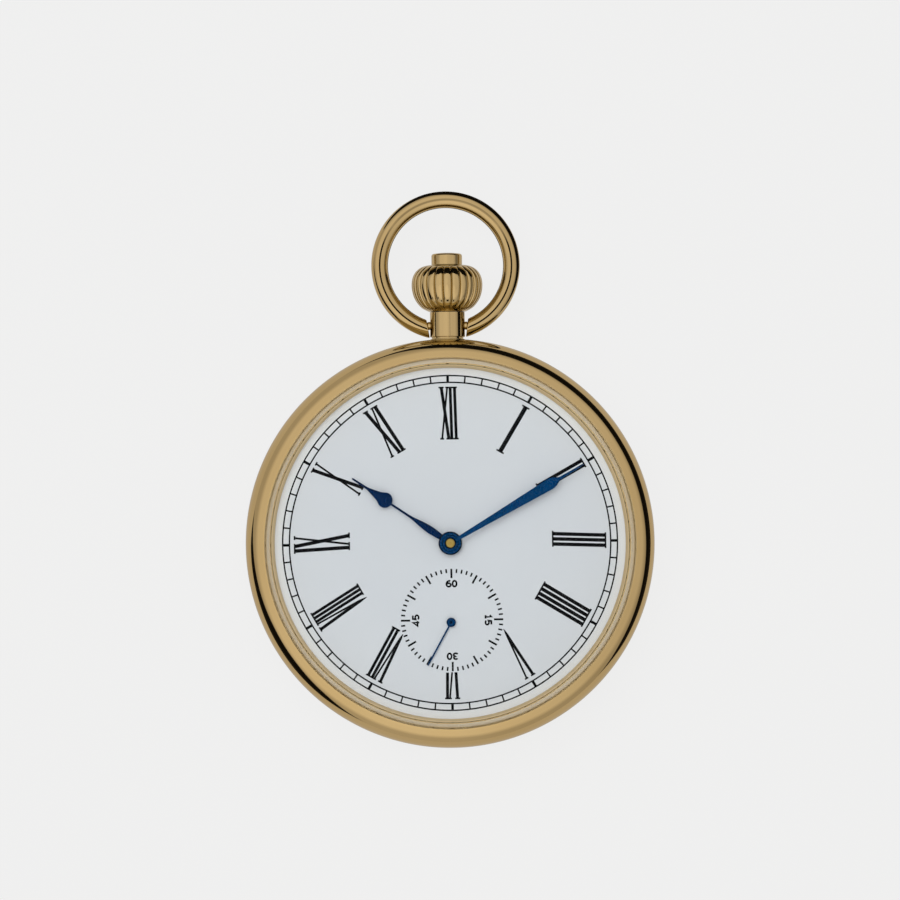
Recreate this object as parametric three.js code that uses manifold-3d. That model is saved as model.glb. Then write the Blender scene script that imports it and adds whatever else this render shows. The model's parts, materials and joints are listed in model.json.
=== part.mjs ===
// Open-face (Lepine) pocket watch with a hand-wound lever movement and small seconds.
// Millimetres. The origin is the centre of the flat resting face of the case back, +Z points out
// of the dial, +Y towards the pendant and 12 o'clock, +X towards 3 o'clock.
import * as THREE from "three";
import { mergeVertices } from "three/addons/utils/BufferGeometryUtils.js";
import Module from "manifold-3d";

const wasm = await Module();
wasm.setup();

// ---------- driving dimensions ----------
// Names ending in _Z hold a [lower, upper] pair of heights.
// case
const CASE_R = 25;
const CRYSTAL_SEAT_R = 22.5;
const BAND_Z = [3.3, 8.3];
const BEZEL_TOP = 10.95;
const CRYSTAL_TOP = 12.3;
const STEM_HEIGHT = 5.6; // z of the axis of the winding stem, pendant, crown and bow
const PENDANT_R = 2.1;
const PENDANT_BORE_R = 0.85;
const PENDANT_TOP_Y = 28.35;
const BOW_R = 8.08; // centreline radius of the bow
const BOW_WIRE_R = 1.025;
const BOW_Y = 34.07; // centre of the bow ring
const BOW_END_X = 2.62; // half distance between the ends of the bow
const BOW_PIVOT_Y = 26.68; // axis on which the bow swings
const CROWN_FLUTES = 24;
// dial and hands; hands at rest in degrees clockwise from 12
const DIAL_R = 21.7;
const DIAL_Z = [8.0, 8.4];
const DIAL_FEET = [[13.5, 8], [-13.5, -8]];
const SECONDS_Y = -9.65; // fourth arbor, centre of the seconds dial
const HOUR_DEGREES = 303.7;
const MINUTE_DEGREES = 60;
const SECOND_DEGREES = 208.9;
// movement levels
const PLATE_R = 18.3;
const PLATE_Z = [5.9, 7.9];
const BRIDGE_R = 18.0;
const BRIDGE_Z = [3.1, 4.1];
const THROUGH_BRIDGE_Z = [3, 5]; // cutters that pass right through a bridge
const BRIDGE_POCKET_Z = [3, 3.78]; // cutters for the pockets of the winding wheels
const BRIDGE_SEAT_Z = [3.3, 5]; // cutters for the arbor seats of the train bridge
const WINDING_Z = [3.38, 3.7]; // ratchet wheel, crown wheel and click
const FORK_Z = [5.05, 5.2]; // escape wheel and pallet fork
const LOWER_SEAT_Z = [5, 6.3]; // cutters for the jewel seats in the mainplate
const LOWER_JEWEL_Z = [5.95, 6.28];
const RECESS_FLOOR = 6.95; // floor of the recess for the motion work
const RECESS_Z = [RECESS_FLOOR, 9];
const SETTING_Z = [7.1, 7.28]; // minute wheel and setting wheel
const LEVER_Z = [7.1, 7.35]; // setting lever and yoke
// toothed wheels
const TEETH = {
  barrel: 78, centrePinion: 12,
  centre: 80, thirdPinion: 10,
  third: 75, fourthPinion: 10,
  fourth: 80, escapePinion: 8, escape: 15,
  cannon: 12, minute: 36, minutePinion: 10, hour: 40, setting: 16,
  ratchet: 54, crown: 28,
  winding: 17, clutch: 12,
};
const MODULE = { barrel: 0.2, centre: 0.14, third: 0.13, fourth: 0.12, cannon: 0.19 };
const ESCAPE_R = 2.6;
const FORK_REACH = 4.1; // pallet arbor to balance staff
const BALANCE_R = 4.5;
const SPOKE_HALF_WIDTH = 0.28;
// flat springs
const SPRING_TURNS = 4;
const SPRING_STEPS_PER_TURN = 13;

// ---------- plane geometry ----------
const TAU = Math.PI * 2;
const CENTRE = [0, 0];
const radians = (degrees) => (degrees * Math.PI) / 180;
const around = ([x, y], radius, angle) => [
  x + radius * Math.cos(angle),
  y + radius * Math.sin(angle),
];
const polar = (radius, degrees) => around(CENTRE, radius, radians(degrees));
const distance = (a, b) => Math.hypot(b[0] - a[0], b[1] - a[1]);
const direction = (a, b) => [
  (b[0] - a[0]) / distance(a, b),
  (b[1] - a[1]) / distance(a, b),
];
const leftOf = ([x, y]) => [-y, x];
const offset = (at, along, length) => [at[0] + along[0] * length, at[1] + along[1] * length];

// the point at radiusA from a and radiusB from b, to the right of the line from a to b
function meet(a, radiusA, b, radiusB) {
  const span = distance(a, b);
  const along = direction(a, b);
  const foot = (radiusA ** 2 - radiusB ** 2 + span ** 2) / (2 * span);
  const height = Math.sqrt(radiusA ** 2 - foot ** 2);
  return offset(offset(a, along, foot), leftOf(along), -height);
}

const circle = (at, radius, sides) =>
  Array.from({ length: sides }, (_, i) => around(at, radius, (i * TAU) / sides));
const arc = (at, radius, start, end, steps) =>
  Array.from({ length: steps + 1 }, (_, i) =>
    around(at, radius, start + ((end - start) * i) / steps),
  );
// pointed teeth: the outline alternates between the tip and root circles
const star = (at, rootRadius, tipRadius, teeth, phase = 0) =>
  Array.from({ length: 2 * teeth }, (_, i) =>
    around(at, i % 2 ? rootRadius : tipRadius, phase + (i * Math.PI) / teeth),
  );

// windows between the spokes of a wheel; each edge is { radius, inset, steps },
// where inset is the angle left for the spoke at each end
const windows = (at, count, phase, outer, inner) =>
  Array.from({ length: count }, (_, i) => {
    const start = phase + (i * TAU) / count;
    const end = phase + ((i + 1) * TAU) / count;
    return [
      ...arc(at, outer.radius, start + outer.inset, end - outer.inset, outer.steps),
      ...arc(at, inner.radius, end - inner.inset, start + inner.inset, inner.steps),
    ];
  });

// ---------- arbor positions ----------
// centre distance of two meshing gears
const spacing = (module, teethA, teethB) => (module * (teethA + teethB)) / 2;

const BARREL = polar(spacing(MODULE.barrel, TEETH.barrel, TEETH.centrePinion), 147);
const FOURTH = [0, SECONDS_Y];
const THIRD = meet(
  FOURTH,
  spacing(MODULE.third, TEETH.third, TEETH.fourthPinion),
  CENTRE,
  spacing(MODULE.centre, TEETH.centre, TEETH.thirdPinion),
);
const BALANCE = polar(12.9, 225);
const PALLET_HALF_ANGLE = radians(30); // half the angle the pallets span at the escape wheel
const PALLET_REACH = ESCAPE_R / Math.cos(PALLET_HALF_ANGLE) + 0.15;
const ESCAPE = meet(
  FOURTH,
  spacing(MODULE.fourth, TEETH.fourth, TEETH.escapePinion),
  BALANCE,
  Math.hypot(PALLET_REACH, FORK_REACH),
);
const PALLET = meet(ESCAPE, PALLET_REACH, BALANCE, FORK_REACH);
const MINUTE_REACH = spacing(MODULE.cannon, TEETH.cannon, TEETH.minute);
const MINUTE = polar(MINUTE_REACH, 65);
const SETTING_REACH = spacing(MODULE.cannon, TEETH.minute, TEETH.setting);
const SETTING = [0, MINUTE[1] + Math.sqrt(SETTING_REACH ** 2 - MINUTE[0] ** 2)];
const CROWN_WHEEL = [0, 10.5];
// modules that follow from the positions
MODULE.hour = (2 * MINUTE_REACH) / (TEETH.minutePinion + TEETH.hour);
MODULE.ratchet = (2 * distance(BARREL, CROWN_WHEEL)) / (TEETH.ratchet + TEETH.crown);

const BARREL_OUTWARD = direction(CENTRE, BARREL);
const CLICK = offset(BARREL, BARREL_OUTWARD, 7.95);
const LEVER_PIVOT = [3.2, 16.8];
const LEVER_PIN = [0.62, 16.3];
const YOKE_PIVOT = [-4.4, 12.3];
const YOKE_PIN = [-1.26, 11.95];
// screws
const BARREL_SCREWS = [[-8.6, 14.0], [2.95, 15.3]];
const TRAIN_SCREWS = [[14.6, -2.2], [3.0, -16.0]];
const COCK_SCREW = [-15.0, -4.6];
const BRIDGE_SCREWS = [...BARREL_SCREWS, ...TRAIN_SCREWS, COCK_SCREW];
const CASE_SCREWS = [polar(17.35, 35), polar(17.35, 262)];

// ---------- solids ----------
const translation = (x, y, z) => new THREE.Matrix4().makeTranslation(x, y, z);
const placedTurn = (x, y, z, turn) => translation(x, y, z).multiply(turn);
const quarterTurnX = () => new THREE.Matrix4().makeRotationX(Math.PI / 2);
const quarterTurnZ = () => new THREE.Matrix4().makeRotationZ(Math.PI / 2);

// a three.js geometry as a closed solid, placed by an optional matrix
function solid(source, matrix) {
  let geometry = source.index ? source.toNonIndexed() : source.clone();
  for (const name of Object.keys(geometry.attributes)) {
    if (name !== "position") geometry.deleteAttribute(name);
  }
  if (matrix) geometry.applyMatrix4(matrix);
  geometry = mergeVertices(geometry, 1e-4);
  const triangles = [];
  for (let i = 0; i < geometry.index.count; i += 3) {
    const [a, b, c] = [0, 1, 2].map((k) => geometry.index.getX(i + k));
    if (a !== b && b !== c && c !== a) triangles.push(a, b, c);
  }
  const make = () =>
    new wasm.Manifold(
      new wasm.Mesh({
        numProp: 3,
        vertProperties: new Float32Array(geometry.attributes.position.array),
        triVerts: new Uint32Array(triangles),
      }),
    );
  const made = make();
  if (made.volume() > 0) return made;
  // the faces look inwards: turn every triangle over
  for (let i = 0; i < triangles.length; i += 3) {
    [triangles[i + 1], triangles[i + 2]] = [triangles[i + 2], triangles[i + 1]];
  }
  return make();
}
const join = (...all) => all.reduce((a, b) => a.add(b));
const cut = (from, ...all) => all.reduce((a, b) => a.subtract(b), from);

const vectors = (points) => points.map(([x, y]) => new THREE.Vector2(x, y));
const shapeOf = (points) => new THREE.Shape(vectors(points));

// a flat plate with an outline, between two heights
function plate(outline, z0, z1, holes = []) {
  const shape = shapeOf(outline);
  shape.holes = holes.map((hole) => new THREE.Path(vectors(hole)));
  const geometry = new THREE.ExtrudeGeometry(shape, { depth: z1 - z0, bevelEnabled: false });
  return solid(geometry, translation(0, 0, z0));
}
// six sides serve for small holes, pins and pivots
const disc = (at, radius, z0, z1, sides = 6) => plate(circle(at, radius, sides), z0, z1);
const ring = (at, inner, outer, z0, z1, sides = 6) =>
  plate(circle(at, outer, sides), z0, z1, [circle(at, inner, sides)]);

// a straight bar of a width between two points
function bar(a, b, width, z0, z1) {
  const left = leftOf(direction(a, b));
  const half = width / 2;
  const outline = [
    offset(a, left, half),
    offset(a, left, -half),
    offset(b, left, -half),
    offset(b, left, half),
  ];
  return plate(outline, z0, z1);
}
const box = (x0, x1, y0, y1, z0, z1) =>
  solid(
    new THREE.BoxGeometry(x1 - x0, y1 - y0, z1 - z0),
    translation((x0 + x1) / 2, (y0 + y1) / 2, (z0 + z1) / 2),
  );
// cutter for a screwdriver slot along X
const slot = ([x, y], halfLength, halfWidth, z0, z1) =>
  box(x - halfLength, x + halfLength, y - halfWidth, y + halfWidth, z0, z1);

// profiles are lists of [radius, position along the axis]
const latheGeometry = (profile, sides) => new THREE.LatheGeometry(vectors(profile), sides);
// a turned piece about the vertical through a point
const turned = (profile, sides, [x, y] = CENTRE) =>
  solid(latheGeometry(profile, sides), placedTurn(x, y, 0, quarterTurnX()));
// a turned piece about the stem axis
const stemTurned = (profile, sides) =>
  solid(latheGeometry(profile, sides), translation(0, 0, STEM_HEIGHT));

// the profile of a stepped shaft; each step is [radius, end]
function shaftProfile(start, steps) {
  const points = [[0, start]];
  let from = start;
  for (const [radius, end] of steps) {
    points.push([radius, from], [radius, end]);
    from = end;
  }
  return [...points, [0, from]];
}
const shaft = (at, start, steps, sides = 6) => turned(shaftProfile(start, steps), sides, at);
const stemRod = (radius, y0, y1, sides = 8) =>
  stemTurned(shaftProfile(y0, [[radius, y1]]), sides);

// a flat spiral spring
function spiral(at, innerRadius, outerRadius, thickness, z0, z1) {
  const steps = SPRING_TURNS * SPRING_STEPS_PER_TURN;
  const side = (shift) =>
    Array.from({ length: steps + 1 }, (_, i) => {
      const radius = innerRadius + ((outerRadius - innerRadius) * i) / steps + shift;
      return around(at, radius, (i * TAU) / SPRING_STEPS_PER_TURN);
    });
  return plate([...side(thickness / 2), ...side(-thickness / 2).reverse()], z0, z1);
}

// ---------- gears ----------
// teeth are 2.2 modules high and stand 0.66 module over the pitch circle
const TOOTH_TIP = 0.66;
const TOOTH_ROOT = 1.54;
const pitchRadius = ({ module, teeth }) => (module * teeth) / 2;
const rootRadius = (gear) => pitchRadius(gear) - TOOTH_ROOT * gear.module;
const tipRadius = (gear) => pitchRadius(gear) + TOOTH_TIP * gear.module;
const toothed = (gear) =>
  star(gear.at, rootRadius(gear), tipRadius(gear), gear.teeth, gear.phase);

const gearAt = (at, module, teeth) => ({ at, module, teeth, phase: 0 });
// a gear turned so that its teeth stand in the gaps of its driver
function meshed(driver, at, teeth) {
  const bearing = Math.atan2(at[1] - driver.at[1], at[0] - driver.at[0]);
  const carried = ((driver.phase - bearing) * driver.teeth) / teeth;
  const phase = bearing + Math.PI - carried - Math.PI / teeth;
  return { at, module: driver.module, teeth, phase };
}

const GEAR = {
  centre: gearAt(CENTRE, MODULE.centre, TEETH.centre),
  centrePinion: gearAt(CENTRE, MODULE.barrel, TEETH.centrePinion),
  third: gearAt(THIRD, MODULE.third, TEETH.third),
  fourth: gearAt(FOURTH, MODULE.fourth, TEETH.fourth),
  cannon: gearAt(CENTRE, MODULE.cannon, TEETH.cannon),
  minutePinion: gearAt(MINUTE, MODULE.hour, TEETH.minutePinion),
  ratchet: gearAt(BARREL, MODULE.ratchet, TEETH.ratchet),
};
GEAR.barrel = meshed(GEAR.centrePinion, BARREL, TEETH.barrel);
GEAR.thirdPinion = meshed(GEAR.centre, THIRD, TEETH.thirdPinion);
GEAR.fourthPinion = meshed(GEAR.third, FOURTH, TEETH.fourthPinion);
GEAR.escapePinion = meshed(GEAR.fourth, ESCAPE, TEETH.escapePinion);
GEAR.minute = meshed(GEAR.cannon, MINUTE, TEETH.minute);
GEAR.hour = meshed(GEAR.minutePinion, CENTRE, TEETH.hour);
GEAR.setting = meshed(GEAR.minute, SETTING, TEETH.setting);
GEAR.crown = meshed(GEAR.ratchet, CROWN_WHEEL, TEETH.crown);

const solidGear = (gear, z0, z1) => plate(toothed(gear), z0, z1);
// a gear with spokes between a hub radius and a rim of a width inside the tooth roots
function spokedGear(gear, z0, z1, { spokes, hub, rim }) {
  const edge = (radius, steps) => ({ radius, inset: SPOKE_HALF_WIDTH / radius, steps });
  const outer = edge(rootRadius(gear) - rim, 3);
  const inner = edge(hub, 1);
  return plate(toothed(gear), z0, z1, windows(gear.at, spokes, gear.phase, outer, inner));
}

// ---------- materials ----------
const material = (settings) => new THREE.MeshStandardMaterial(settings);
const gold = () => material({ color: 0xcdad7a, roughness: 0.18, metalness: 1 });
const brass = () => material({ color: 0xc8a85e, roughness: 0.35, metalness: 1 });
const steel = () => material({ color: 0xb9bcc0, roughness: 0.25, metalness: 1 });
const nickel = () => material({ color: 0xc9c7c0, roughness: 0.35, metalness: 1 });
const blued = () => material({ color: 0x0a3c6e, roughness: 0.25, metalness: 0.9 });
const ruby = () => material({ color: 0xb0143c, roughness: 0.1, metalness: 0 });
const dialSilver = () => material({ color: 0xd1d6db, roughness: 0.45, metalness: 0.1 });
const glass = () =>
  material({
    color: 0xf4f8fa,
    roughness: 0.03,
    metalness: 0,
    transparent: true,
    opacity: 0.25,
  });

const watch = new THREE.Group();
watch.name = "pocket_watch";
function add(name, made, finish) {
  const { vertProperties, triVerts } = made.getMesh();
  const geometry = new THREE.BufferGeometry();
  const positions = new Float32Array(vertProperties);
  geometry.setAttribute("position", new THREE.BufferAttribute(positions, 3));
  geometry.setIndex(Array.from(triVerts));
  geometry.computeVertexNormals();
  const mesh = new THREE.Mesh(geometry, finish);
  mesh.name = name;
  watch.add(mesh);
}

// ---------- case ----------
const CASE_SIDES = 36;

// snap-on back: a shallow dish that rests on a flat disc, with a rim that enters the band
const BACK_PROFILE = [
  [0, 0], [14, 0], [18.5, 0.3], [22, 1.0], [24.1, 2.0], [24.8, 3.0], [24.8, 3.25],
  [23.3, 3.25], [23.3, 4.0], [22.6, 4.0], [22.6, 3.0], [20.5, 1.6], [14, 0.8], [0, 0.8],
];
add("case_back", turned(BACK_PROFILE, CASE_SIDES), gold());

// band: a barrel-shaped ring with the hole that takes the pendant's spigot
const BAND_PROFILE = [
  [23.4, BAND_Z[0]], [24.8, BAND_Z[0]], [24.93, 4.2], [CASE_R, STEM_HEIGHT], [CASE_R, 7.2],
  [24.93, BAND_Z[1]], [23.4, BAND_Z[1]], [23.4, 7.5], [22.5, 7.4], [22.5, 4.2], [23.4, 4.1],
  [23.4, BAND_Z[0]],
];
add("case_band", cut(turned(BAND_PROFILE, CASE_SIDES), stemRod(1.56, 20, 27, 16)), gold());

// bezel: convex polished ring, crystal seat and the sloping inner wall down to the dial
const BEZEL_PROFILE = [
  [21.4, 8.5], [21.95, 10.1], [22.56, 10.1], [22.56, 10.75], [22.72, BEZEL_TOP],
  [23.2, 10.84], [23.75, 10.55], [24.25, 10.12], [24.65, 9.56], [24.9, 8.92], [24.97, 8.36],
  [23.32, 8.36], [23.32, 7.6], [22.6, 7.6], [22.2, 8.5], [21.4, 8.5],
];
add("bezel", turned(BEZEL_PROFILE, CASE_SIDES), gold());

// crystal: a low dome with a flat edge that stands in the seat
const CRYSTAL_PROFILE = [
  [0, 11.3], [12, 11.0], [21.2, 10.13], [CRYSTAL_SEAT_R, 10.13], [CRYSTAL_SEAT_R, 10.66],
  [21.7, 11.05], [16, 11.85], [8, 12.22], [0, CRYSTAL_TOP],
];
add("crystal", turned(CRYSTAL_PROFILE, CASE_SIDES), glass());

// a rod along X at the bow's pivot, and a pair of them mirrored about x = 0
const pivotRod = (radius, x0, x1) =>
  solid(
    new THREE.CylinderGeometry(radius, radius, x1 - x0, 12),
    placedTurn((x0 + x1) / 2, BOW_PIVOT_Y, STEM_HEIGHT, quarterTurnZ()),
  );
const pivotPair = (radius, inner, outer) => [
  pivotRod(radius, inner, outer),
  pivotRod(radius, -outer, -inner),
];

// pendant tube: a spigot in the band, a foot, a shaft with a socket on each side for the bow
const PENDANT_PROFILE = [
  [PENDANT_BORE_R, 22.7], [1.5, 22.7], [1.5, 25.04], [2.4, 25.04], [2.36, 25.28],
  [PENDANT_R, 25.6], [PENDANT_R, PENDANT_TOP_Y], [PENDANT_BORE_R, PENDANT_TOP_Y],
  [PENDANT_BORE_R, 22.7],
];
add("pendant_tube", cut(stemTurned(PENDANT_PROFILE, 16), ...pivotPair(0.56, 1.6, 3)), gold());

// bow: a round wire bent into a ring that stops on each side of the pendant, a pin at each end
class BowCurve extends THREE.Curve {
  getPoint(t, target = new THREE.Vector3()) {
    const gap = Math.asin(BOW_END_X / BOW_R);
    const angle = -Math.PI / 2 + gap + t * (TAU - 2 * gap);
    return target.set(...around([0, BOW_Y], BOW_R, angle), STEM_HEIGHT);
  }
}
function bow() {
  const wire = solid(
    new THREE.ExtrudeGeometry(shapeOf(circle(CENTRE, BOW_WIRE_R, 10)), {
      steps: 28,
      bevelEnabled: false,
      extrudePath: new BowCurve(),
    }),
  );
  const pins = pivotPair(0.5, 1.72, 3.3);
  // clears the wire from around the pendant but leaves the pins
  const clearance = cut(box(-2.5, 2.5, 24, 29.2, 2, 9), ...pins);
  return cut(join(wire, ...pins), clearance);
}
add("bow", bow(), gold());

// crown: a fluted onion with a plain boss on top and a blind bore for the stem
const CROWN_PROFILE = [
  [0, 35.62], [1.88, 35.62], [1.88, 34.15], [2.9, 33.95], [3.9, 33.15], [4.34, 31.7],
  [4.0, 30.1], [3.1, 28.95], [2.35, 28.42], [0.66, 28.42], [0.66, 33.2], [0, 33.2],
];
const FLUTED_Y = [28.6, 34.05];
const BORE_LIMIT_R = 1; // points inside this radius belong to the bore and axis
function crown() {
  const sides = CROWN_FLUTES * 2;
  const geometry = latheGeometry(CROWN_PROFILE, sides);
  const points = geometry.attributes.position;
  for (let i = 0; i < points.count; i++) {
    const [x, y, z] = [points.getX(i), points.getY(i), points.getZ(i)];
    const radius = Math.hypot(x, z);
    if (radius < BORE_LIMIT_R || y > FLUTED_Y[1] || y < FLUTED_Y[0]) continue;
    // every second line of points is drawn in to make a flute
    const line = Math.round((Math.atan2(z, x) / TAU) * sides);
    if (line % 2) {
      const scale = radius > 2.5 ? 0.9 : 0.95;
      points.setXYZ(i, x * scale, y, z * scale);
    }
  }
  return solid(geometry, translation(0, 0, STEM_HEIGHT));
}
add("crown", crown(), gold());

// ---------- dial and hands ----------
add(
  "dial",
  cut(
    join(
      disc(CENTRE, DIAL_R, ...DIAL_Z, 32),
      ...DIAL_FEET.map((at) => disc(at, 0.4, 7.0, 8.1)),
    ),
    disc(CENTRE, 1.0, 7, 9, 10),
    disc(FOURTH, 0.35, 7, 9),
  ),
  dialSilver(),
);

// turns an outline drawn pointing at 12 to an angle clockwise from 12
function aimed(outline, degrees, [x, y]) {
  const cosine = Math.cos(-radians(degrees));
  const sine = Math.sin(-radians(degrees));
  return outline.map(([u, v]) => [x + u * cosine - v * sine, y + u * sine + v * cosine]);
}
const bothSides = (right) => [...right, ...right.map(([x, y]) => [-x, y]).reverse()];

// right is the [x, y] outline on the +x side of a hand that points at 12;
// hub and bore are the arguments of a disc: radius, lower z, upper z, sides
function addHand(name, { at, degrees, right, bladeZ, hub, bore }) {
  const blade = plate(aimed(bothSides(right), degrees, at), ...bladeZ);
  add(name, cut(join(blade, disc(at, ...hub)), disc(at, ...bore)), blued());
}
addHand("hour_hand", {
  at: CENTRE,
  degrees: HOUR_DEGREES,
  // leaf, stem, round bulb and needle
  right: [
    [0.33, 0.6], [0.33, 1.5], [0.45, 2.95], [0.36, 3.9], [0.1, 5.66], [0.1, 8.55],
    ...arc([0, 9.56], 0.94, radians(-78), radians(62), 8),
    [0.24, 11.3], [0.11, 12.36], [0.05, 14.35],
  ],
  bladeZ: [9.1, 9.3],
  hub: [1.43, 9.02, 9.32, 12],
  bore: [0.84, 8, 10, 8],
});
addHand("minute_hand", {
  at: CENTRE,
  degrees: MINUTE_DEGREES,
  right: [[0.18, 0.4], [0.2, 1.5], [0.665, 14.2], [0.6, 14.6], [0.19, 15.5], [0.06, 18.9]],
  bladeZ: [9.75, 9.95],
  hub: [0.95, 9.7, 9.97, 10],
  bore: [0.55, 9, 11, 8],
});
addHand("seconds_hand", {
  at: FOURTH,
  degrees: SECOND_DEGREES,
  right: [[0.1, 0.3], [0.085, 4], [0.06, 6.03]],
  bladeZ: [8.72, 8.84],
  hub: [0.57, 8.6, 8.9, 8],
  bore: [0.2, 8, 8.78, 6],
});

// ---------- mainplate ----------
// feet reach from just clear of the bridges into the plate
const FOOT_Z = [BRIDGE_Z[1] + 0.01, PLATE_Z[0] + 0.1];
const STEM_BLOCK = [[-3.2, 10.0], [4.0, 10.0], [4.0, 17.7], [-3.2, 17.9]];
// [centre, radius]
const ROUND_FEET = [
  [BARREL_SCREWS[0], 1.0],
  [[-16.0, -0.9], 1.2],
  [TRAIN_SCREWS[0], 1.5],
  [TRAIN_SCREWS[1], 1.0],
  [COCK_SCREW, 1.6],
];
const KEYLESS_RECESS = [
  [-5.6, 10.2], [5.0, 10.2], [5.0, 16.9], [4.1, 17.65], [0, 17.95], [-5.3, 17.1],
];
function mainplate() {
  const body = join(
    disc(CENTRE, PLATE_R, ...PLATE_Z, 32),
    cut(plate(STEM_BLOCK, ...FOOT_Z), disc(BARREL, 8.12, 3, 7, 20)),
    ...ROUND_FEET.map(([at, radius]) => disc(at, radius, ...FOOT_Z, 7)),
  );
  // recess on the dial side for the motion work and the keyless work
  const recess = [
    disc(CENTRE, 4.35, ...RECESS_Z, 12),
    disc(MINUTE, 4.05, ...RECESS_Z, 12),
    disc(SETTING, 2.1, ...RECESS_Z, 10),
    plate(KEYLESS_RECESS, ...RECESS_Z),
  ];
  // stem hole, slot for the clutch and winding pinion, slot for the setting lever's pin
  const stemWork = [
    stemRod(0.63, 15, 19, 10),
    stemRod(0.46, 9.3, 11),
    box(-2, 2, 10.2, 15.4, 3.9, 9),
    box(-0.1, 1.15, 15.85, 18.6, 5.2, 9),
  ];
  const arborHoles = [
    disc(CENTRE, 0.75, 5, 8, 8),
    disc(BARREL, 0.9, 5, 6.6, 7),
    disc(THIRD, 0.5, ...LOWER_SEAT_Z),
    disc(FOURTH, 0.5, 5, 9),
    disc(ESCAPE, 0.5, ...LOWER_SEAT_Z),
    disc(PALLET, 0.5, ...LOWER_SEAT_Z),
    disc(BALANCE, 0.6, 5, 6.4),
  ];
  const fixingHoles = [
    ...BRIDGE_SCREWS.map((at) => disc(at, 0.4, 3, 5.9)),
    ...CASE_SCREWS.map((at) => disc(at, 0.4, 5, 7.3)),
    ...DIAL_FEET.map((at) => disc(at, 0.48, 6.8, 9)),
    ...[LEVER_PIVOT, YOKE_PIVOT].map((at) => disc(at, 0.4, 6.2, 8)),
  ];
  // posts on which the minute wheel and the setting wheel turn
  const posts = [
    disc(MINUTE, 0.35, RECESS_FLOOR - 0.1, 7.82),
    disc(SETTING, 0.4, RECESS_FLOOR - 0.1, 7.5),
  ];
  return join(cut(body, ...recess, ...stemWork, ...arborHoles, ...fixingHoles), ...posts);
}
add("mainplate", mainplate(), brass());

// ring around the mainplate, bored for the stem
const MOVEMENT_RING_PROFILE = [
  [18.6, 5.95], [19.5, 5.95], [19.5, 4.5], [22.3, 4.5],
  [22.3, PLATE_Z[1]], [18.6, PLATE_Z[1]], [18.6, 5.95],
];
add(
  "movement_ring",
  cut(turned(MOVEMENT_RING_PROFILE, CASE_SIDES), stemRod(0.95, 17, 24, 6)),
  brass(),
);

// ---------- bridges ----------
// the part of the round bridge blank inside an outline
const bridgeBlank = (outline) =>
  disc(CENTRE, BRIDGE_R, ...BRIDGE_Z, 32).intersect(plate(outline, ...THROUGH_BRIDGE_Z));
// through hole and counterbore of a bridge screw
const screwHole = (at) => join(disc(at, 0.4, 2.5, 4.6), disc(at, 0.85, 2.5, 3.55, 7));

const BARREL_BRIDGE_OUTLINE = [
  [-19, -2.3], [-3.4, -2.3], [-2.6, -0.8], [-2.6, 2.0], [-0.6, 3.4],
  [3.2, 5.6], [4.6, 8.2], [5.0, 18.6], [-19, 18.6],
];
add(
  "barrel_bridge",
  cut(
    bridgeBlank(BARREL_BRIDGE_OUTLINE),
    // pockets for the ratchet wheel, crown wheel, click and click spring
    disc(BARREL, 6.55, ...BRIDGE_POCKET_Z, 20),
    disc(CROWN_WHEEL, 3.62, ...BRIDGE_POCKET_Z, 16),
    disc(CLICK, 1.45, ...BRIDGE_POCKET_Z, 8),
    bar([-16.7, 2.6], [-15.1, 7.9], 1.3, ...BRIDGE_POCKET_Z),
    bar([-15.2, 5.0], CLICK, 2.4, ...BRIDGE_POCKET_Z),
    // opening over the winding pinion
    box(-1.25, 1.25, 12.9, 15.2, 3.7, 4.3),
    disc(BARREL, 1.06, ...THROUGH_BRIDGE_Z, 7),
    disc(CROWN_WHEEL, 0.45, ...THROUGH_BRIDGE_Z),
    ...BARREL_SCREWS.map(screwHole),
  ).add(disc(CLICK, 0.3, 3.2, 3.9)),
  nickel(),
);

const TRAIN_BRIDGE_OUTLINE = [
  [-1.9, 1.2], [0.2, 2.3], [4.0, 2.3], [9.0, 0.9], [18.5, 1.6], [18.5, -6.0], [9.5, -7.0],
  [6.2, -10.5], [4.9, -18.5], [1.2, -18.5], [1.0, -12.2], [-1.5, -11.6], [-3.2, -8.6],
  [-5.2, -8.1], [-5.6, -6.3], [-4.2, -5.7], [-2.4, -6.0], [-1.2, -3.0], [-1.9, -1.6],
];
add(
  "train_bridge",
  cut(
    bridgeBlank(TRAIN_BRIDGE_OUTLINE),
    disc(CENTRE, 0.5, ...THROUGH_BRIDGE_Z),
    ...[THIRD, FOURTH].flatMap((at) => [
      disc(at, 0.5, ...BRIDGE_SEAT_Z),
      disc(at, 0.2, ...THROUGH_BRIDGE_Z),
    ]),
    disc(ESCAPE, 0.3, ...BRIDGE_SEAT_Z),
    ...TRAIN_SCREWS.map(screwHole),
  ),
  nickel(),
);

const COCK_ARM_Z = [2.9, 3.55];
add(
  "balance_cock",
  cut(
    join(
      disc(COCK_SCREW, 1.75, COCK_ARM_Z[0], BRIDGE_Z[1] - 0.01, 10),
      bar(COCK_SCREW, BALANCE, 2.6, ...COCK_ARM_Z),
      disc(BALANCE, 2.0, ...COCK_ARM_Z, 12),
    ),
    disc(BALANCE, 0.8, 2, 3.3, 8),
    disc(BALANCE, 0.25, 2, 4),
    disc(COCK_SCREW, 0.4, 2, 4.6),
    disc(COCK_SCREW, 0.85, 2, 3.3, 7),
  ),
  nickel(),
);

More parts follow.
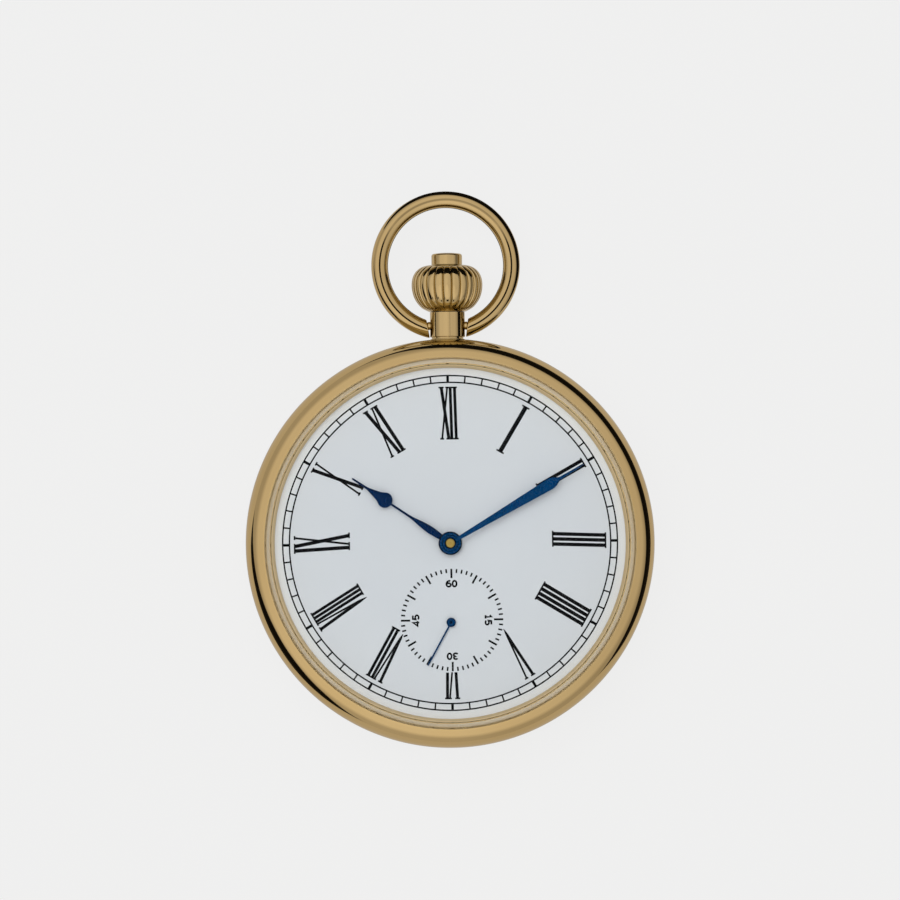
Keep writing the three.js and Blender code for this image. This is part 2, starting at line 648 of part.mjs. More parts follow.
// pallet cock: its arm passes between the balance and the pallet fork
const PALLET_COCK_FOOT = [-12.1, -4.1];
const PALLET_COCK_Z = [4.62, 4.88];
add(
  "pallet_cock",
  cut(
    join(
      disc(PALLET, 0.75, ...PALLET_COCK_Z, 7),
      bar(PALLET, PALLET_COCK_FOOT, 1.2, ...PALLET_COCK_Z),
      disc(PALLET_COCK_FOOT, 0.8, PALLET_COCK_Z[0], PLATE_Z[0] - 0.01, 7),
    ),
    disc(PALLET, 0.12, 4, 5),
    disc(PALLET_COCK_FOOT, 0.35, 4, 7),
  ),
  nickel(),
);

// a screw with its slotted head towards the case back; head is the z of the head's outer face
const bridgeScrew = (at, head = 3.12, length = 2.2) =>
  cut(
    join(
      disc(at, 0.78, head, head + 0.38, 7),
      disc(at, 0.34, head + 0.3, head + 0.3 + length),
    ),
    slot(at, 1, 0.1, head - 0.1, head + 0.14),
  );
add("barrel_bridge_screw_1", bridgeScrew(BARREL_SCREWS[0]), steel());
add("barrel_bridge_screw_2", bridgeScrew(BARREL_SCREWS[1], 3.12, 1.5), steel());
add("train_bridge_screw_1", bridgeScrew(TRAIN_SCREWS[0]), steel());
add("train_bridge_screw_2", bridgeScrew(TRAIN_SCREWS[1]), steel());
add("balance_cock_screw", bridgeScrew(COCK_SCREW, 2.88, 2.4), steel());

const caseScrew = (at) =>
  cut(
    join(disc(at, 1.6, 5.45, 5.86, 9), disc(at, 0.34, 5.8, 7.2)),
    slot(at, 2, 0.15, 5.3, 5.6),
  );
CASE_SCREWS.forEach((at, i) => add(`case_screw_${i + 1}`, caseScrew(at), steel()));

// ---------- power ----------
add(
  "barrel_drum",
  cut(
    join(solidGear(GEAR.barrel, 5.4, 5.83), disc(BARREL, 7.4, 4.43, 5.5, 24)),
    disc(BARREL, 7.0, 4, 5.65, 24),
    disc(BARREL, 0.9, 5, 6, 7),
  ),
  brass(),
);
add("barrel_cover", ring(BARREL, 0.98, 6.95, 4.43, 4.6, 20), brass());
add(
  "barrel_arbor",
  cut(
    shaft(BARREL, 3.36, [[0.92, 4.64], [1.3, 5.62], [0.8, 6.5]], 7),
    disc(BARREL, 0.36, 3, 4.9),
  ),
  steel(),
);
add("mainspring", spiral(BARREL, 1.6, 6.75, 0.18, 4.68, 5.58), steel());

add(
  "ratchet_wheel",
  cut(solidGear(GEAR.ratchet, ...WINDING_Z), disc(BARREL, 1.06, 3, 4, 7)),
  steel(),
);
// slotted head shared by the ratchet screw and the crown wheel core
const wideHead = (at) => disc(at, 1.7, 2.95, 3.34, 10);
const wideSlot = (at) => slot(at, 2, 0.15, 2.8, 3.1);
add(
  "ratchet_screw",
  cut(join(wideHead(BARREL), disc(BARREL, 0.3, 3.3, 4.7)), wideSlot(BARREL)),
  steel(),
);
add(
  "crown_wheel",
  cut(solidGear(GEAR.crown, ...WINDING_Z), disc(CROWN_WHEEL, 1.34, 3, 4, 9)),
  steel(),
);
add(
  "crown_wheel_core",
  cut(
    join(
      wideHead(CROWN_WHEEL),
      disc(CROWN_WHEEL, 1.2, 3.3, 3.76, 9),
      disc(CROWN_WHEEL, 0.4, 3.7, 4.08),
    ),
    wideSlot(CROWN_WHEEL),
  ),
  steel(),
);

// click: its beak stands just clear of the ratchet teeth
const CLICK_BEAK = offset(
  offset(BARREL, BARREL_OUTWARD, 6.62),
  leftOf(BARREL_OUTWARD),
  1.2,
);
add(
  "click",
  cut(
    join(disc(CLICK, 0.85, ...WINDING_Z, 8), bar(CLICK, CLICK_BEAK, 0.5, ...WINDING_Z)),
    disc(CLICK, 0.36, 3, 4),
  ),
  steel(),
);
const CLICK_SPRING_FOOT = [-16.6, 3.0];
add(
  "click_spring",
  join(
    disc(CLICK_SPRING_FOOT, 0.45, 3.4, 3.7),
    bar(CLICK_SPRING_FOOT, [-16.15, 5.6], 0.22, 3.4, 3.7),
  ),
  steel(),
);

// ---------- going train ----------
add(
  "centre_wheel",
  join(
    spokedGear(GEAR.centre, 4.16, 4.34, { spokes: 5, hub: 1.5, rim: 0.45 }),
    shaft(CENTRE, 3.2, [[0.42, 4.1], [0.7, 5.86], [0.66, 6.6], [0.3, 9.9]], 7),
    solidGear(GEAR.centrePinion, 5.2, 5.84),
  ),
  brass(),
);
add(
  "third_wheel",
  join(
    spokedGear(GEAR.third, 4.5, 4.66, { spokes: 5, hub: 1.2, rim: 0.4 }),
    shaft(THIRD, 3.6, [[0.11, 4.05], [0.4, 5.83], [0.11, 6.28]]),
    solidGear(GEAR.thirdPinion, 4.12, 4.4),
  ),
  brass(),
);
add(
  "fourth_wheel",
  join(
    spokedGear(GEAR.fourth, 5.46, 5.6, { spokes: 5, hub: 1.1, rim: 0.4 }),
    shaft(FOURTH, 3.6, [[0.11, 4.15], [0.38, 5.8], [0.16, 8.75]]),
    solidGear(GEAR.fourthPinion, 4.42, 4.78),
  ),
  brass(),
);

// ---------- escapement ----------
// one escape tooth: [radius, angle from the start of the tooth in radians]
const ESCAPE_TOOTH = [[1.95, 0], [ESCAPE_R, 0.13], [ESCAPE_R - 0.06, 0.2], [1.95, 0.17]];
function escapeWheel() {
  const outline = Array.from({ length: TEETH.escape }, (_, i) =>
    ESCAPE_TOOTH.map(([radius, angle]) =>
      around(ESCAPE, radius, (i * TAU) / TEETH.escape + angle),
    ),
  ).flat();
  const outer = { radius: 1.65, inset: 0.3, steps: 2 };
  const inner = { radius: 0.6, inset: 0.3, steps: 2 };
  return join(
    plate(outline, ...FORK_Z, windows(ESCAPE, 4, 0, outer, inner)),
    shaft(ESCAPE, 3.42, [[0.11, 4.12], [0.26, 5.8], [0.11, 6.28]]),
    solidGear(GEAR.escapePinion, 5.38, 5.7),
  );
}
add("escape_wheel", escapeWheel(), steel());

// pallet fork: arbor, two arms with the stones' seats, and the fork towards the balance
const TO_BALANCE = direction(PALLET, BALANCE);
const TO_ESCAPE = direction(PALLET, ESCAPE);
const STONE_TIP_R = ESCAPE_R + 0.36; // from the escape arbor
const STONE_LENGTH = 0.5;
function palletFork() {
  const fromPallet = (toBalance, toEscape) =>
    offset(offset(PALLET, TO_BALANCE, toBalance), TO_ESCAPE, toEscape);
  // arm and stone on the balance side (1) or the far side (-1) of the line to the escape wheel
  const arm = (side) => {
    const angle = PALLET_HALF_ANGLE * side;
    const onRay = (radius) =>
      fromPallet(radius * Math.sin(angle), PALLET_REACH - radius * Math.cos(angle));
    const tip = onRay(STONE_TIP_R);
    const foot = onRay(STONE_TIP_R + STONE_LENGTH);
    return join(
      bar(PALLET, foot, 0.4, ...FORK_Z),
      disc(foot, 0.22, ...FORK_Z),
      bar(foot, tip, 0.28, ...FORK_Z),
    );
  };
  const prong = (side) =>
    bar(fromPallet(2.5, 0.28 * side), fromPallet(3.12, 0.34 * side), 0.2, ...FORK_Z);
  return join(
    arm(1),
    arm(-1),
    disc(PALLET, 0.42, ...FORK_Z),
    bar(PALLET, fromPallet(2.55, 0), 0.3, ...FORK_Z),
    prong(1),
    prong(-1),
    bar(fromPallet(2.5, -0.34), fromPallet(2.5, 0.34), 0.24, ...FORK_Z),
    shaft(PALLET, 4.66, [[0.08, 4.94], [0.2, 5.82], [0.1, 6.25]]),
  );
}
add("pallet_fork", palletFork(), steel());

const BALANCE_WINDOWS = windows(
  BALANCE,
  3,
  0,
  { radius: 3.9, inset: 0.35, steps: 8 },
  { radius: 0.75, inset: 0.35, steps: 8 },
);
add(
  "balance_wheel",
  plate(circle(BALANCE, BALANCE_R, 20), 4.22, 4.52, [
    ...BALANCE_WINDOWS,
    circle(BALANCE, 0.3, 6),
  ]),
  brass(),
);
// staff with its roller; the impulse jewel stands on the roller at the side of the pallet fork
const STAFF_STEPS = [[0.08, 3.62], [0.27, 4.56], [1.0, 4.74], [0.4, 5.86], [0.1, 6.38]];
add(
  "balance_staff",
  join(
    shaft(BALANCE, 3.35, STAFF_STEPS, 10),
    disc(offset(BALANCE, TO_BALANCE, -0.74), 0.12, 4.7, 5.2),
  ),
  steel(),
);
add("hairspring", spiral(BALANCE, 0.55, 3.1, 0.07, 3.82, 3.98), blued());

// regulator: a ring on the cock with a pointer
const TO_COCK_SCREW = direction(BALANCE, COCK_SCREW);
const REGULATOR_Z = [2.62, 2.86];
add(
  "regulator",
  join(
    ring(BALANCE, 0.92, 1.4, ...REGULATOR_Z, 10),
    bar(
      offset(BALANCE, TO_COCK_SCREW, 1.3),
      offset(BALANCE, TO_COCK_SCREW, 3.6),
      0.3,
      ...REGULATOR_Z,
    ),
  ),
  steel(),
);
add(
  "balance_shock_setting",
  cut(disc(BALANCE, 0.74, 2.7, 3.26, 8), disc(BALANCE, 0.12, 3.2, 4)),
  brass(),
);

// ---------- jewels ----------
const JEWEL_BORE_R = 0.16;
// [name, centre, radius, [lower z, upper z]]
const JEWELS = [
  ["jewel_third_lower", THIRD, 0.46, LOWER_JEWEL_Z],
  ["jewel_fourth_upper", FOURTH, 0.46, [3.55, 4.0]],
  ["jewel_escape_lower", ESCAPE, 0.46, LOWER_JEWEL_Z],
  ["jewel_pallet_lower", PALLET, 0.46, LOWER_JEWEL_Z],
  ["jewel_balance_lower", BALANCE, 0.55, [5.95, 6.38]],
];
for (const [name, at, radius, heights] of JEWELS) {
  add(name, ring(at, JEWEL_BORE_R, radius, ...heights), ruby());
}

// ---------- motion work ----------
const CANNON_BORE_R = 0.35;
add(
  "cannon_pinion",
  join(
    ring(CENTRE, CANNON_BORE_R, 0.49, 7.05, 10.1, 7),
    cut(solidGear(GEAR.cannon, 7.05, 7.5), disc(CENTRE, CANNON_BORE_R, 6, 9, 7)),
  ),
  brass(),
);
add(
  "minute_wheel",
  cut(
    join(
      spokedGear(GEAR.minute, ...SETTING_Z, { spokes: 4, hub: 1.2, rim: 0.4 }),
      solidGear(GEAR.minutePinion, 7.2, 7.8),
    ),
    disc(MINUTE, 0.42, 7, 8),
  ),
  brass(),
);
add(
  "hour_wheel",
  cut(
    join(solidGear(GEAR.hour, 7.58, 7.8), disc(CENTRE, 0.79, 7.7, 9.28, 8)),
    disc(CENTRE, 0.56, 7, 10, 7),
  ),
  brass(),
);

// ---------- keyless work ----------
// stem: inner pivot, square for the clutch, round body with the setting lever's groove
const STEM_STEPS = [
  [0.38, 10.3], [0.42, 13.1], [0.55, 15.95], [0.32, 16.65], [0.55, 20], [0.6, 33.0],
];
// a square bar along the stem axis
const stemSquare = (half, y0, y1) =>
  box(-half, half, y0, y1, STEM_HEIGHT - half, STEM_HEIGHT + half);
add(
  "winding_stem",
  join(stemTurned(shaftProfile(9.5, STEM_STEPS), 8), stemSquare(0.4, 10.3, 13.12)),
  steel(),
);

// a toothed plate across the stem, from y0 to y1
function stemGear(root, tip, teeth, y0, y1) {
  const geometry = new THREE.ExtrudeGeometry(shapeOf(star(CENTRE, root, tip, teeth)), {
    depth: y1 - y0,
    bevelEnabled: false,
  });
  return solid(geometry, placedTurn(0, y1, STEM_HEIGHT, quarterTurnX()));
}
add(
  "winding_pinion",
  cut(
    join(stemGear(1.35, 1.74, TEETH.winding, 13.2, 14.6), stemRod(1.0, 14.5, 15.3)),
    stemRod(0.6, 12, 16),
  ),
  steel(),
);
add(
  "sliding_clutch",
  cut(
    join(
      stemGear(1.1, 1.42, TEETH.clutch, 10.95, 11.6),
      stemRod(0.95, 11.5, 12.4),
      stemGear(1.1, 1.42, TEETH.clutch, 12.3, 13.0),
    ),
    stemSquare(0.46, 10, 14),
  ),
  steel(),
);
add(
  "setting_wheel",
  cut(solidGear(GEAR.setting, ...SETTING_Z), disc(SETTING, 0.47, 7, 8)),
  steel(),
);

// an arm on a pivot stud, with a pin at its end that reaches down to the stem work
const pinnedLever = ({ pivot, hubRadius, width, pin, pinRadius, pinBottom }) =>
  join(
    disc(pivot, hubRadius, ...LEVER_Z, 7),
    bar(pivot, pin, width, ...LEVER_Z),
    disc(pivot, 0.34, 6.4, 7.2),
    disc(pin, pinRadius, pinBottom, 7.2),
  );
const SETTING_LEVER = {
  pivot: LEVER_PIVOT,
  hubRadius: 0.75,
  width: 0.8,
  pin: LEVER_PIN,
  pinRadius: 0.24,
  pinBottom: 5.5,
};
const YOKE = {
  pivot: YOKE_PIVOT,
  hubRadius: 0.65,
  width: 0.6,
  pin: YOKE_PIN,
  pinRadius: 0.2,
  pinBottom: 5.3,
};
add("setting_lever", pinnedLever(SETTING_LEVER), steel());
add("yoke", pinnedLever(YOKE), steel());

const YOKE_SPRING_FOOT = [-4.9, 16.3];
add(
  "yoke_spring",
  join(
    disc(YOKE_SPRING_FOOT, 0.45, 7.0, 7.35),
    bar(YOKE_SPRING_FOOT, [-3.3, 13.4], 0.2, 7.08, 7.35),
  ),
  steel(),
);

// jumper that holds the setting lever in its two positions and covers the keyless work
const JUMPER_OUTLINE = [[-2.6, 14.2], [4.6, 13.2], [4.6, 16.9], [2.2, 17.1], [-2.6, 16.6]];
add(
  "setting_lever_jumper",
  cut(plate(JUMPER_OUTLINE, 7.42, 7.66), disc([3.9, 14.1], 0.4, 7, 8)),
  steel(),
);

export default watch;
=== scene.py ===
# A gold open-faced pocket watch lying on its back on a pale floor. The case axis is Z, the
# dial faces +Z, and 12 o'clock, the neck, the crown and the bow point along +Y.
# Lengths are in millimetres; names ending in _M are in metres.
import json
import math
from functools import cached_property

import bmesh
import bpy
import numpy as np
from mathutils import Matrix, Vector


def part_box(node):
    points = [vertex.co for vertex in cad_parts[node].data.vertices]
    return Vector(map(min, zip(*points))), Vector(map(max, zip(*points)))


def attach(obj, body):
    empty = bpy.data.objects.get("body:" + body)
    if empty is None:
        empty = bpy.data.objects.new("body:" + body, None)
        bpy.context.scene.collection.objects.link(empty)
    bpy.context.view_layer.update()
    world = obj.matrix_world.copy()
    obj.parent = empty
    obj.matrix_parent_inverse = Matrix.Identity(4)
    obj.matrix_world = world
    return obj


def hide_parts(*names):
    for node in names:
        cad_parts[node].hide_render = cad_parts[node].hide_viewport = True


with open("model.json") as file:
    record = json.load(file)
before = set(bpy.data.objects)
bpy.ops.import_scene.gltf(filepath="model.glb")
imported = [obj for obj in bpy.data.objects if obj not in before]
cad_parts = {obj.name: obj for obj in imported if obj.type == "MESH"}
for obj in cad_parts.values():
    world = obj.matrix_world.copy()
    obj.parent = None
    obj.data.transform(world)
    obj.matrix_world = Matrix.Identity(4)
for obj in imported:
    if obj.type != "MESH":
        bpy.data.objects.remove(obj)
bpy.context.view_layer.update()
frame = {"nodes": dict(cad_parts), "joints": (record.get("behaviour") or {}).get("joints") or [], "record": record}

MM = 0.001
TAU = math.tau

# ---------- places taken from the frame ----------
joint_at = {j["name"]: [c / MM for c in j["pos_m"]] for j in frame["joints"] if "pos_m" in j}
PIVOT_Y, STEM_Z = joint_at["bow_swing"][1:3]
SECONDS = joint_at["seconds_hand_turn"][:2]
CASE_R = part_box("case_band")[1].x / MM
dial_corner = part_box("dial")[1]
DIAL_R = dial_corner.x / MM
DIAL_TOP = dial_corner.z / MM
BOW_R = 8.08    # radius of the wire's centre line
BOW_Y = 34.07   # centre of the bow


# ---------- modelling kit ----------
def mesh_object(name, verts, faces, smooth=40.0):
    """A closed, smooth-shaded mesh; edges steeper than smooth degrees stay sharp."""
    mesh = bpy.data.meshes.new(name)
    mesh.from_pydata([(x * MM, y * MM, z * MM) for x, y, z in verts], [], faces)
    bm = bmesh.new()
    bm.from_mesh(mesh)
    bmesh.ops.remove_doubles(bm, verts=bm.verts, dist=1e-7)
    bmesh.ops.recalc_face_normals(bm, faces=bm.faces)
    if bm.calc_volume(signed=True) < 0:
        bmesh.ops.reverse_faces(bm, faces=bm.faces)
    bm.to_mesh(mesh)
    bm.free()
    shade(mesh, smooth)
    ob = bpy.data.objects.new(name, mesh)
    bpy.context.scene.collection.objects.link(ob)
    return ob


def shade(mesh, smooth=40.0):
    mesh.shade_smooth()
    mesh.set_sharp_from_angle(angle=math.radians(smooth))


def finish_piece(ob, body, slot, material, *nodes):
    ob.data.materials.clear()
    ob.data.materials.append(material)
    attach(ob, body)
    if nodes:
        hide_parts(*nodes)


def tone(ob, material, test, centre=(0.0, 0.0)):
    """Gives another finish to the faces whose (radius, height) passes the test."""
    ob.data.materials.append(material)
    for poly in ob.data.polygons:
        middle = poly.center / MM
        if test(math.hypot(middle.x - centre[0], middle.y - centre[1]), middle.z):
            poly.material_index = len(ob.data.materials) - 1


def boolean(base, others, operation):
    """The base joined with, or cut by, the other objects, which are used up."""
    for other in others:
        modifier = base.modifiers.new("b", "BOOLEAN")
        modifier.operation = operation
        modifier.solver = "EXACT"
        modifier.object = other
        bpy.context.view_layer.update()
        depsgraph = bpy.context.evaluated_depsgraph_get()
        result = bpy.data.meshes.new_from_object(
            base.evaluated_get(depsgraph), depsgraph=depsgraph)
        base.modifiers.clear()
        old = base.data
        base.data = result
        bpy.data.meshes.remove(old)
        bpy.data.objects.remove(other)
    bm = bmesh.new()
    bm.from_mesh(base.data)
    bmesh.ops.remove_doubles(bm, verts=bm.verts, dist=2e-7)
    bmesh.ops.dissolve_degenerate(bm, dist=1e-7, edges=bm.edges)
    bm.to_mesh(base.data)
    bm.free()
    shade(base.data)


def rounded(points, closed=False, steps=5):
    """A polyline whose optional third number is the radius of the corner's round."""
    out = []
    count = len(points)
    for i, point in enumerate(points):
        x, y = point[:2]
        radius = point[2] if len(point) > 2 else 0.0
        if not radius or (not closed and i in (0, count - 1)):
            out.append((x, y))
            continue
        before, after = points[i - 1], points[(i + 1) % count]
        back = Vector((before[0] - x, before[1] - y))
        ahead = Vector((after[0] - x, after[1] - y))
        back_length, ahead_length = back.length, ahead.length
        back.normalize()
        ahead.normalize()
        half = back.angle(ahead) / 2
        cut = min(radius / math.tan(half), 0.49 * back_length, 0.49 * ahead_length)
        radius = cut * math.tan(half)
        to_centre = (back + ahead).normalized() * (radius / math.sin(half))
        centre = Vector((x, y)) + to_centre
        start = Vector((x, y)) + back * cut - centre
        end = Vector((x, y)) + ahead * cut - centre
        first = math.atan2(start.y, start.x)
        sweep = (math.atan2(end.y, end.x) - first + math.pi) % TAU - math.pi
        for k in range(steps + 1):
            angle = first + sweep * k / steps
            out.append((centre.x + radius * math.cos(angle), centre.y + radius * math.sin(angle)))
    return out


def spline(points, steps=8):
    """A smooth curve through points (centripetal Catmull-Rom), ends included."""
    def between(first, last, t0, t1, t):
        return (t1 - t) / (t1 - t0) * first + (t - t0) / (t1 - t0) * last

    pts = [np.array(point, float) for point in points]
    pts = [2 * pts[0] - pts[1]] + pts + [2 * pts[-1] - pts[-2]]
    out = []
    for i in range(1, len(pts) - 2):
        p0, p1, p2, p3 = pts[i - 1:i + 3]
        t0 = 0.0
        t1 = t0 + max(np.linalg.norm(p1 - p0), 1e-9) ** 0.5
        t2 = t1 + max(np.linalg.norm(p2 - p1), 1e-9) ** 0.5
        t3 = t2 + max(np.linalg.norm(p3 - p2), 1e-9) ** 0.5
        for k in range(steps):
            t = t1 + (t2 - t1) * k / steps
            a1 = between(p0, p1, t0, t1, t)
            a2 = between(p1, p2, t1, t2, t)
            a3 = between(p2, p3, t2, t3, t)
            b1 = between(a1, a2, t0, t2, t)
            b2 = between(a2, a3, t1, t3, t)
            out.append(tuple(between(b1, b2, t1, t2, t)))
    out.append(tuple(pts[-2]))
    return out


def lathe(name, profile, segments=256, axis="Z", centre=(0.0, 0.0, 0.0), shape=None, smooth=40.0):
    """Turns a closed loop of (radius, height), or one that starts and ends on the axis.
    shape(radius, height, angle) may change a point's radius."""
    verts, rows = [], []
    for radius, height in profile:
        if radius < 1e-9:
            rows.append([len(verts)] * segments)
            verts.append((0.0, 0.0, height))
            continue
        rows.append(list(range(len(verts), len(verts) + segments)))
        for k in range(segments):
            angle = TAU * k / segments
            reach = shape(radius, height, angle) if shape else radius
            verts.append((reach * math.cos(angle), reach * math.sin(angle), height))
    faces = []
    count = len(profile)
    on_axis = profile[0][0] < 1e-9 and profile[-1][0] < 1e-9
    for i in range(count - 1 if on_axis else count):
        row, above = rows[i], rows[(i + 1) % count]
        for k in range(segments):
            m = (k + 1) % segments
            corners = list(dict.fromkeys([row[k], row[m], above[m], above[k]]))
            if len(corners) > 2:
                faces.append(corners)
    if axis == "Y":  # height along +Y, angle 0 towards +Z
        verts = [(y, height, x) for x, y, height in verts]
    elif axis == "X":
        verts = [(height, x, y) for x, y, height in verts]
    cx, cy, cz = centre
    return mesh_object(name, [(x + cx, y + cy, z + cz) for x, y, z in verts], faces, smooth)


class Solids:
    """Vertices and faces of several flat solids that end up in one mesh."""

    def __init__(self):
        self.verts = []
        self.faces = []

    def prism(self, outline, low, high):
        count, first = len(outline), len(self.verts)
        self.verts += [(x, y, z) for z in (low, high) for x, y in outline]
        self.faces.append([first + i for i in reversed(range(count))])
        self.faces.append([first + count + i for i in range(count)])
        for i in range(count):
            j = (i + 1) % count
            self.faces.append([first + i, first + j, first + count + j, first + count + i])

    def ring(self, centre, inner, outer, low, high, segments):
        first = len(self.verts)
        for radius, z in ((inner, low), (outer, low), (outer, high), (inner, high)):
            for k in range(segments):
                angle = TAU * k / segments
                self.verts.append((centre[0] + radius * math.cos(angle),
                                   centre[1] + radius * math.sin(angle), z))
        for side in range(4):
            a, b = first + side * segments, first + (side + 1) % 4 * segments
            for k in range(segments):
                m = (k + 1) % segments
                self.faces.append([a + k, a + m, b + m, b + k])


# ---------- shader kit ----------
def operator_node(operation, swapped=False):
    def apply(self, other):
        pair = (other, self) if swapped else (self, other)
        return self.tree.math(operation, *pair)
    return apply


class Value:
    """A shader socket that can be calculated with: each operator adds a math node."""
    __add__ = operator_node("ADD")
    __radd__ = operator_node("ADD", swapped=True)
    __sub__ = operator_node("SUBTRACT")
    __rsub__ = operator_node("SUBTRACT", swapped=True)
    __mul__ = operator_node("MULTIPLY")
    __truediv__ = operator_node("DIVIDE")
    __rtruediv__ = operator_node("DIVIDE", swapped=True)
    __lt__ = operator_node("LESS_THAN")
    __gt__ = operator_node("GREATER_THAN")

    def __init__(self, tree, socket):
        self.tree = tree
        self.socket = socket


class ShaderTree:
    """The node tree of a material or world, with short ways to add nodes."""

    def __init__(self, owner, output="ShaderNodeOutputMaterial"):
        self.owner = owner
        owner.use_nodes = True
        self.tree = owner.node_tree
        self.tree.nodes.clear()
        self.out = self.new(output)

    def new(self, kind, **inputs):
        """A node; arguments name its inputs (_ for a space) or its settings."""
        node = self.tree.nodes.new(kind)
        for name, value in inputs.items():
            key = name.replace("_", " ")
            if key in node.inputs:
                self.set(node.inputs[key], value)
            else:
                setattr(node, name, value)
        return node

    def set(self, socket, value):
        if isinstance(value, Value):
            value = value.socket
        elif isinstance(value, bpy.types.Node):
            value = value.outputs[0]
        if isinstance(value, bpy.types.NodeSocket):
            self.tree.links.new(value, socket)
            return
        if socket.type == "RGBA" and len(value) == 3:
            value = (*value, 1.0)
        socket.default_value = value

    def value(self, node, output=0):
        return Value(self, node.outputs[output])

    def finish(self, shader):
        self.set(self.out.inputs["Surface"], shader)
        return self.owner

    def math(self, operation, first, second=None, clamp=False):
        node = self.new("ShaderNodeMath", operation=operation, use_clamp=clamp)
        self.set(node.inputs[0], first)
        if second is not None:
            self.set(node.inputs[1], second)
        return self.value(node)

    def length(self, x, y):
        return self.math("SQRT", x * x + y * y)

    def separate(self, vector):
        node = self.new("ShaderNodeSeparateXYZ")
        self.set(node.inputs[0], vector)
        return [self.value(node, i) for i in range(3)]

    def coords(self, scale=(1, 1, 1), rotation=(0, 0, 0)):
        source = self.new("ShaderNodeTexCoord")
        return self.value(self.new("ShaderNodeMapping", Vector=source.outputs["Object"],
                                   Scale=scale, Rotation=rotation))

    def noise(self, vector, scale, detail):
        node = self.new("ShaderNodeTexNoise", Vector=vector, Scale=scale, Detail=detail)
        return self.value(node, "Fac")

    def ramp(self, factor, stops):
        """stops: (position, grey value or colour)."""
        node = self.new("ShaderNodeValToRGB", Fac=factor)
        elements = node.color_ramp.elements
        while len(elements) < len(stops):
            elements.new(0.5)
        for element, (position, tint) in zip(elements, stops):
            element.position = position
            element.color = (*tint, 1.0) if isinstance(tint, tuple) else (tint, tint, tint, 1.0)
        return self.value(node, "Color")

    def by_azimuth(self, x, y, stops, scale=1.0):
        """A value that depends on the compass angle of (x, y); stops: (degrees, value)."""
        turn = self.math("FRACT", self.math("ARCTAN2", y, x) / TAU + 1.0)
        return self.ramp(turn, [(deg / 360.0, v / scale) for deg, v in stops]) * scale

    def remap(self, value, span, to=(0.0, 1.0)):
        node = self.new("ShaderNodeMapRange", Value=value, From_Min=span[0], From_Max=span[1],
                        To_Min=to[0], To_Max=to[1])
        return self.value(node, "Result")

    def mix(self, factor, first, second):
        node = self.new("ShaderNodeMix", data_type="RGBA")
        for i, value in ((0, factor), (6, first), (7, second)):
            self.set(node.inputs[i], value)
        return self.value(node, 2)

    def mix_shader(self, factor, first, second):
        node = self.new("ShaderNodeMixShader")
        for i, value in enumerate((factor, first, second)):
            self.set(node.inputs[i], value)
        return node

    def bump(self, height, strength, distance):
        return self.value(self.new("ShaderNodeBump", Strength=strength, Distance=distance * MM,
                                   Height=height))

    def principled(self, **inputs):
        return self.finish(self.new("ShaderNodeBsdfPrincipled", **inputs))


def material_tree(name):
    return ShaderTree(bpy.data.materials.new(name))


# ---------- materials ----------
def gold_material(name="gold_plate", shade=1.0):
    tree = material_tree(name)
    place = tree.coords()
    cloud = tree.noise(place, scale=90.0, detail=3.0)
    fine = tree.noise(place, scale=900.0, detail=4.0)
    hair_a = tree.noise(tree.coords(scale=(1, 14, 1), rotation=(0.3, 0.2, 0.7)),
                        scale=1500.0, detail=2.0)
    hair_b = tree.noise(tree.coords(scale=(12, 1, 1), rotation=(0.5, 0.1, -0.4)),
                        scale=1300.0, detail=2.0)
    # shade below 1 darkens the whole gold: painted shade, used for the bezel's inner wall
    light = tuple(channel * shade for channel in (0.80, 0.565, 0.262))
    dark = tuple(channel * shade for channel in (0.77, 0.535, 0.238))
    colour = tree.mix(tree.remap(cloud, (0.35, 0.7)), light, dark)
    scratch = tree.math("MAXIMUM", tree.remap(hair_a, (0.66, 0.74)),
                        tree.remap(hair_b, (0.68, 0.76)))
    colour = tree.mix(scratch * 0.10, colour, (0.86, 0.65, 0.36))
    # painted reflection colour: gold seen in gold, after a glossy bounce, is painted a soft olive brown instead of
    # turning orange
    depth = tree.value(tree.new("ShaderNodeLightPath"), "Glossy Depth")
    colour = tree.mix(depth > 0.5, colour, (0.50, 0.40, 0.19))
    roughness = tree.remap(fine, (0.3, 0.7), to=(0.045, 0.085)) + scratch * 0.05
    height = cloud * 0.5 + scratch * -0.25
    return tree.principled(Base_Color=colour, Metallic=1.0, Roughness=roughness,
                           Normal=tree.bump(height, strength=0.05, distance=0.02))


def glass_material():
    """Clear mineral glass: light goes straight through, with a weak mirror on each face."""
    tree = material_tree("mineral_glass")
    place = tree.coords()
    fine = tree.noise(place, scale=400.0, detail=3.0)
    smear = tree.noise(place, scale=60.0, detail=2.0)
    clear = tree.new("ShaderNodeBsdfTransparent", Color=(0.985, 0.992, 0.99))
    gloss = tree.new("ShaderNodeBsdfGlossy", Color=(0.9, 0.95, 1.0),
                     Roughness=tree.remap(fine, (0.3, 0.7), to=(0.015, 0.04)),
                     Normal=tree.bump(smear, strength=0.02, distance=0.02))
    fresnel = tree.value(tree.new("ShaderNodeFresnel", IOR=1.5))
    mirror = fresnel * tree.remap(smear, (0.3, 0.7), to=(0.10, 0.13))
    # the ground bevel round the edge is milky
    x, y, _ = tree.separate(place)
    ground = (tree.remap(tree.length(x, y), (21.96 * MM, 22.06 * MM))
              * tree.remap(smear, (0.35, 0.65), to=(0.22, 0.36)))
    milky = tree.new("ShaderNodeBsdfDiffuse", Color=(0.84, 0.76, 0.62))
    body = tree.mix_shader(ground, clear, milky)
    return tree.finish(tree.mix_shader(mirror, body, gloss))


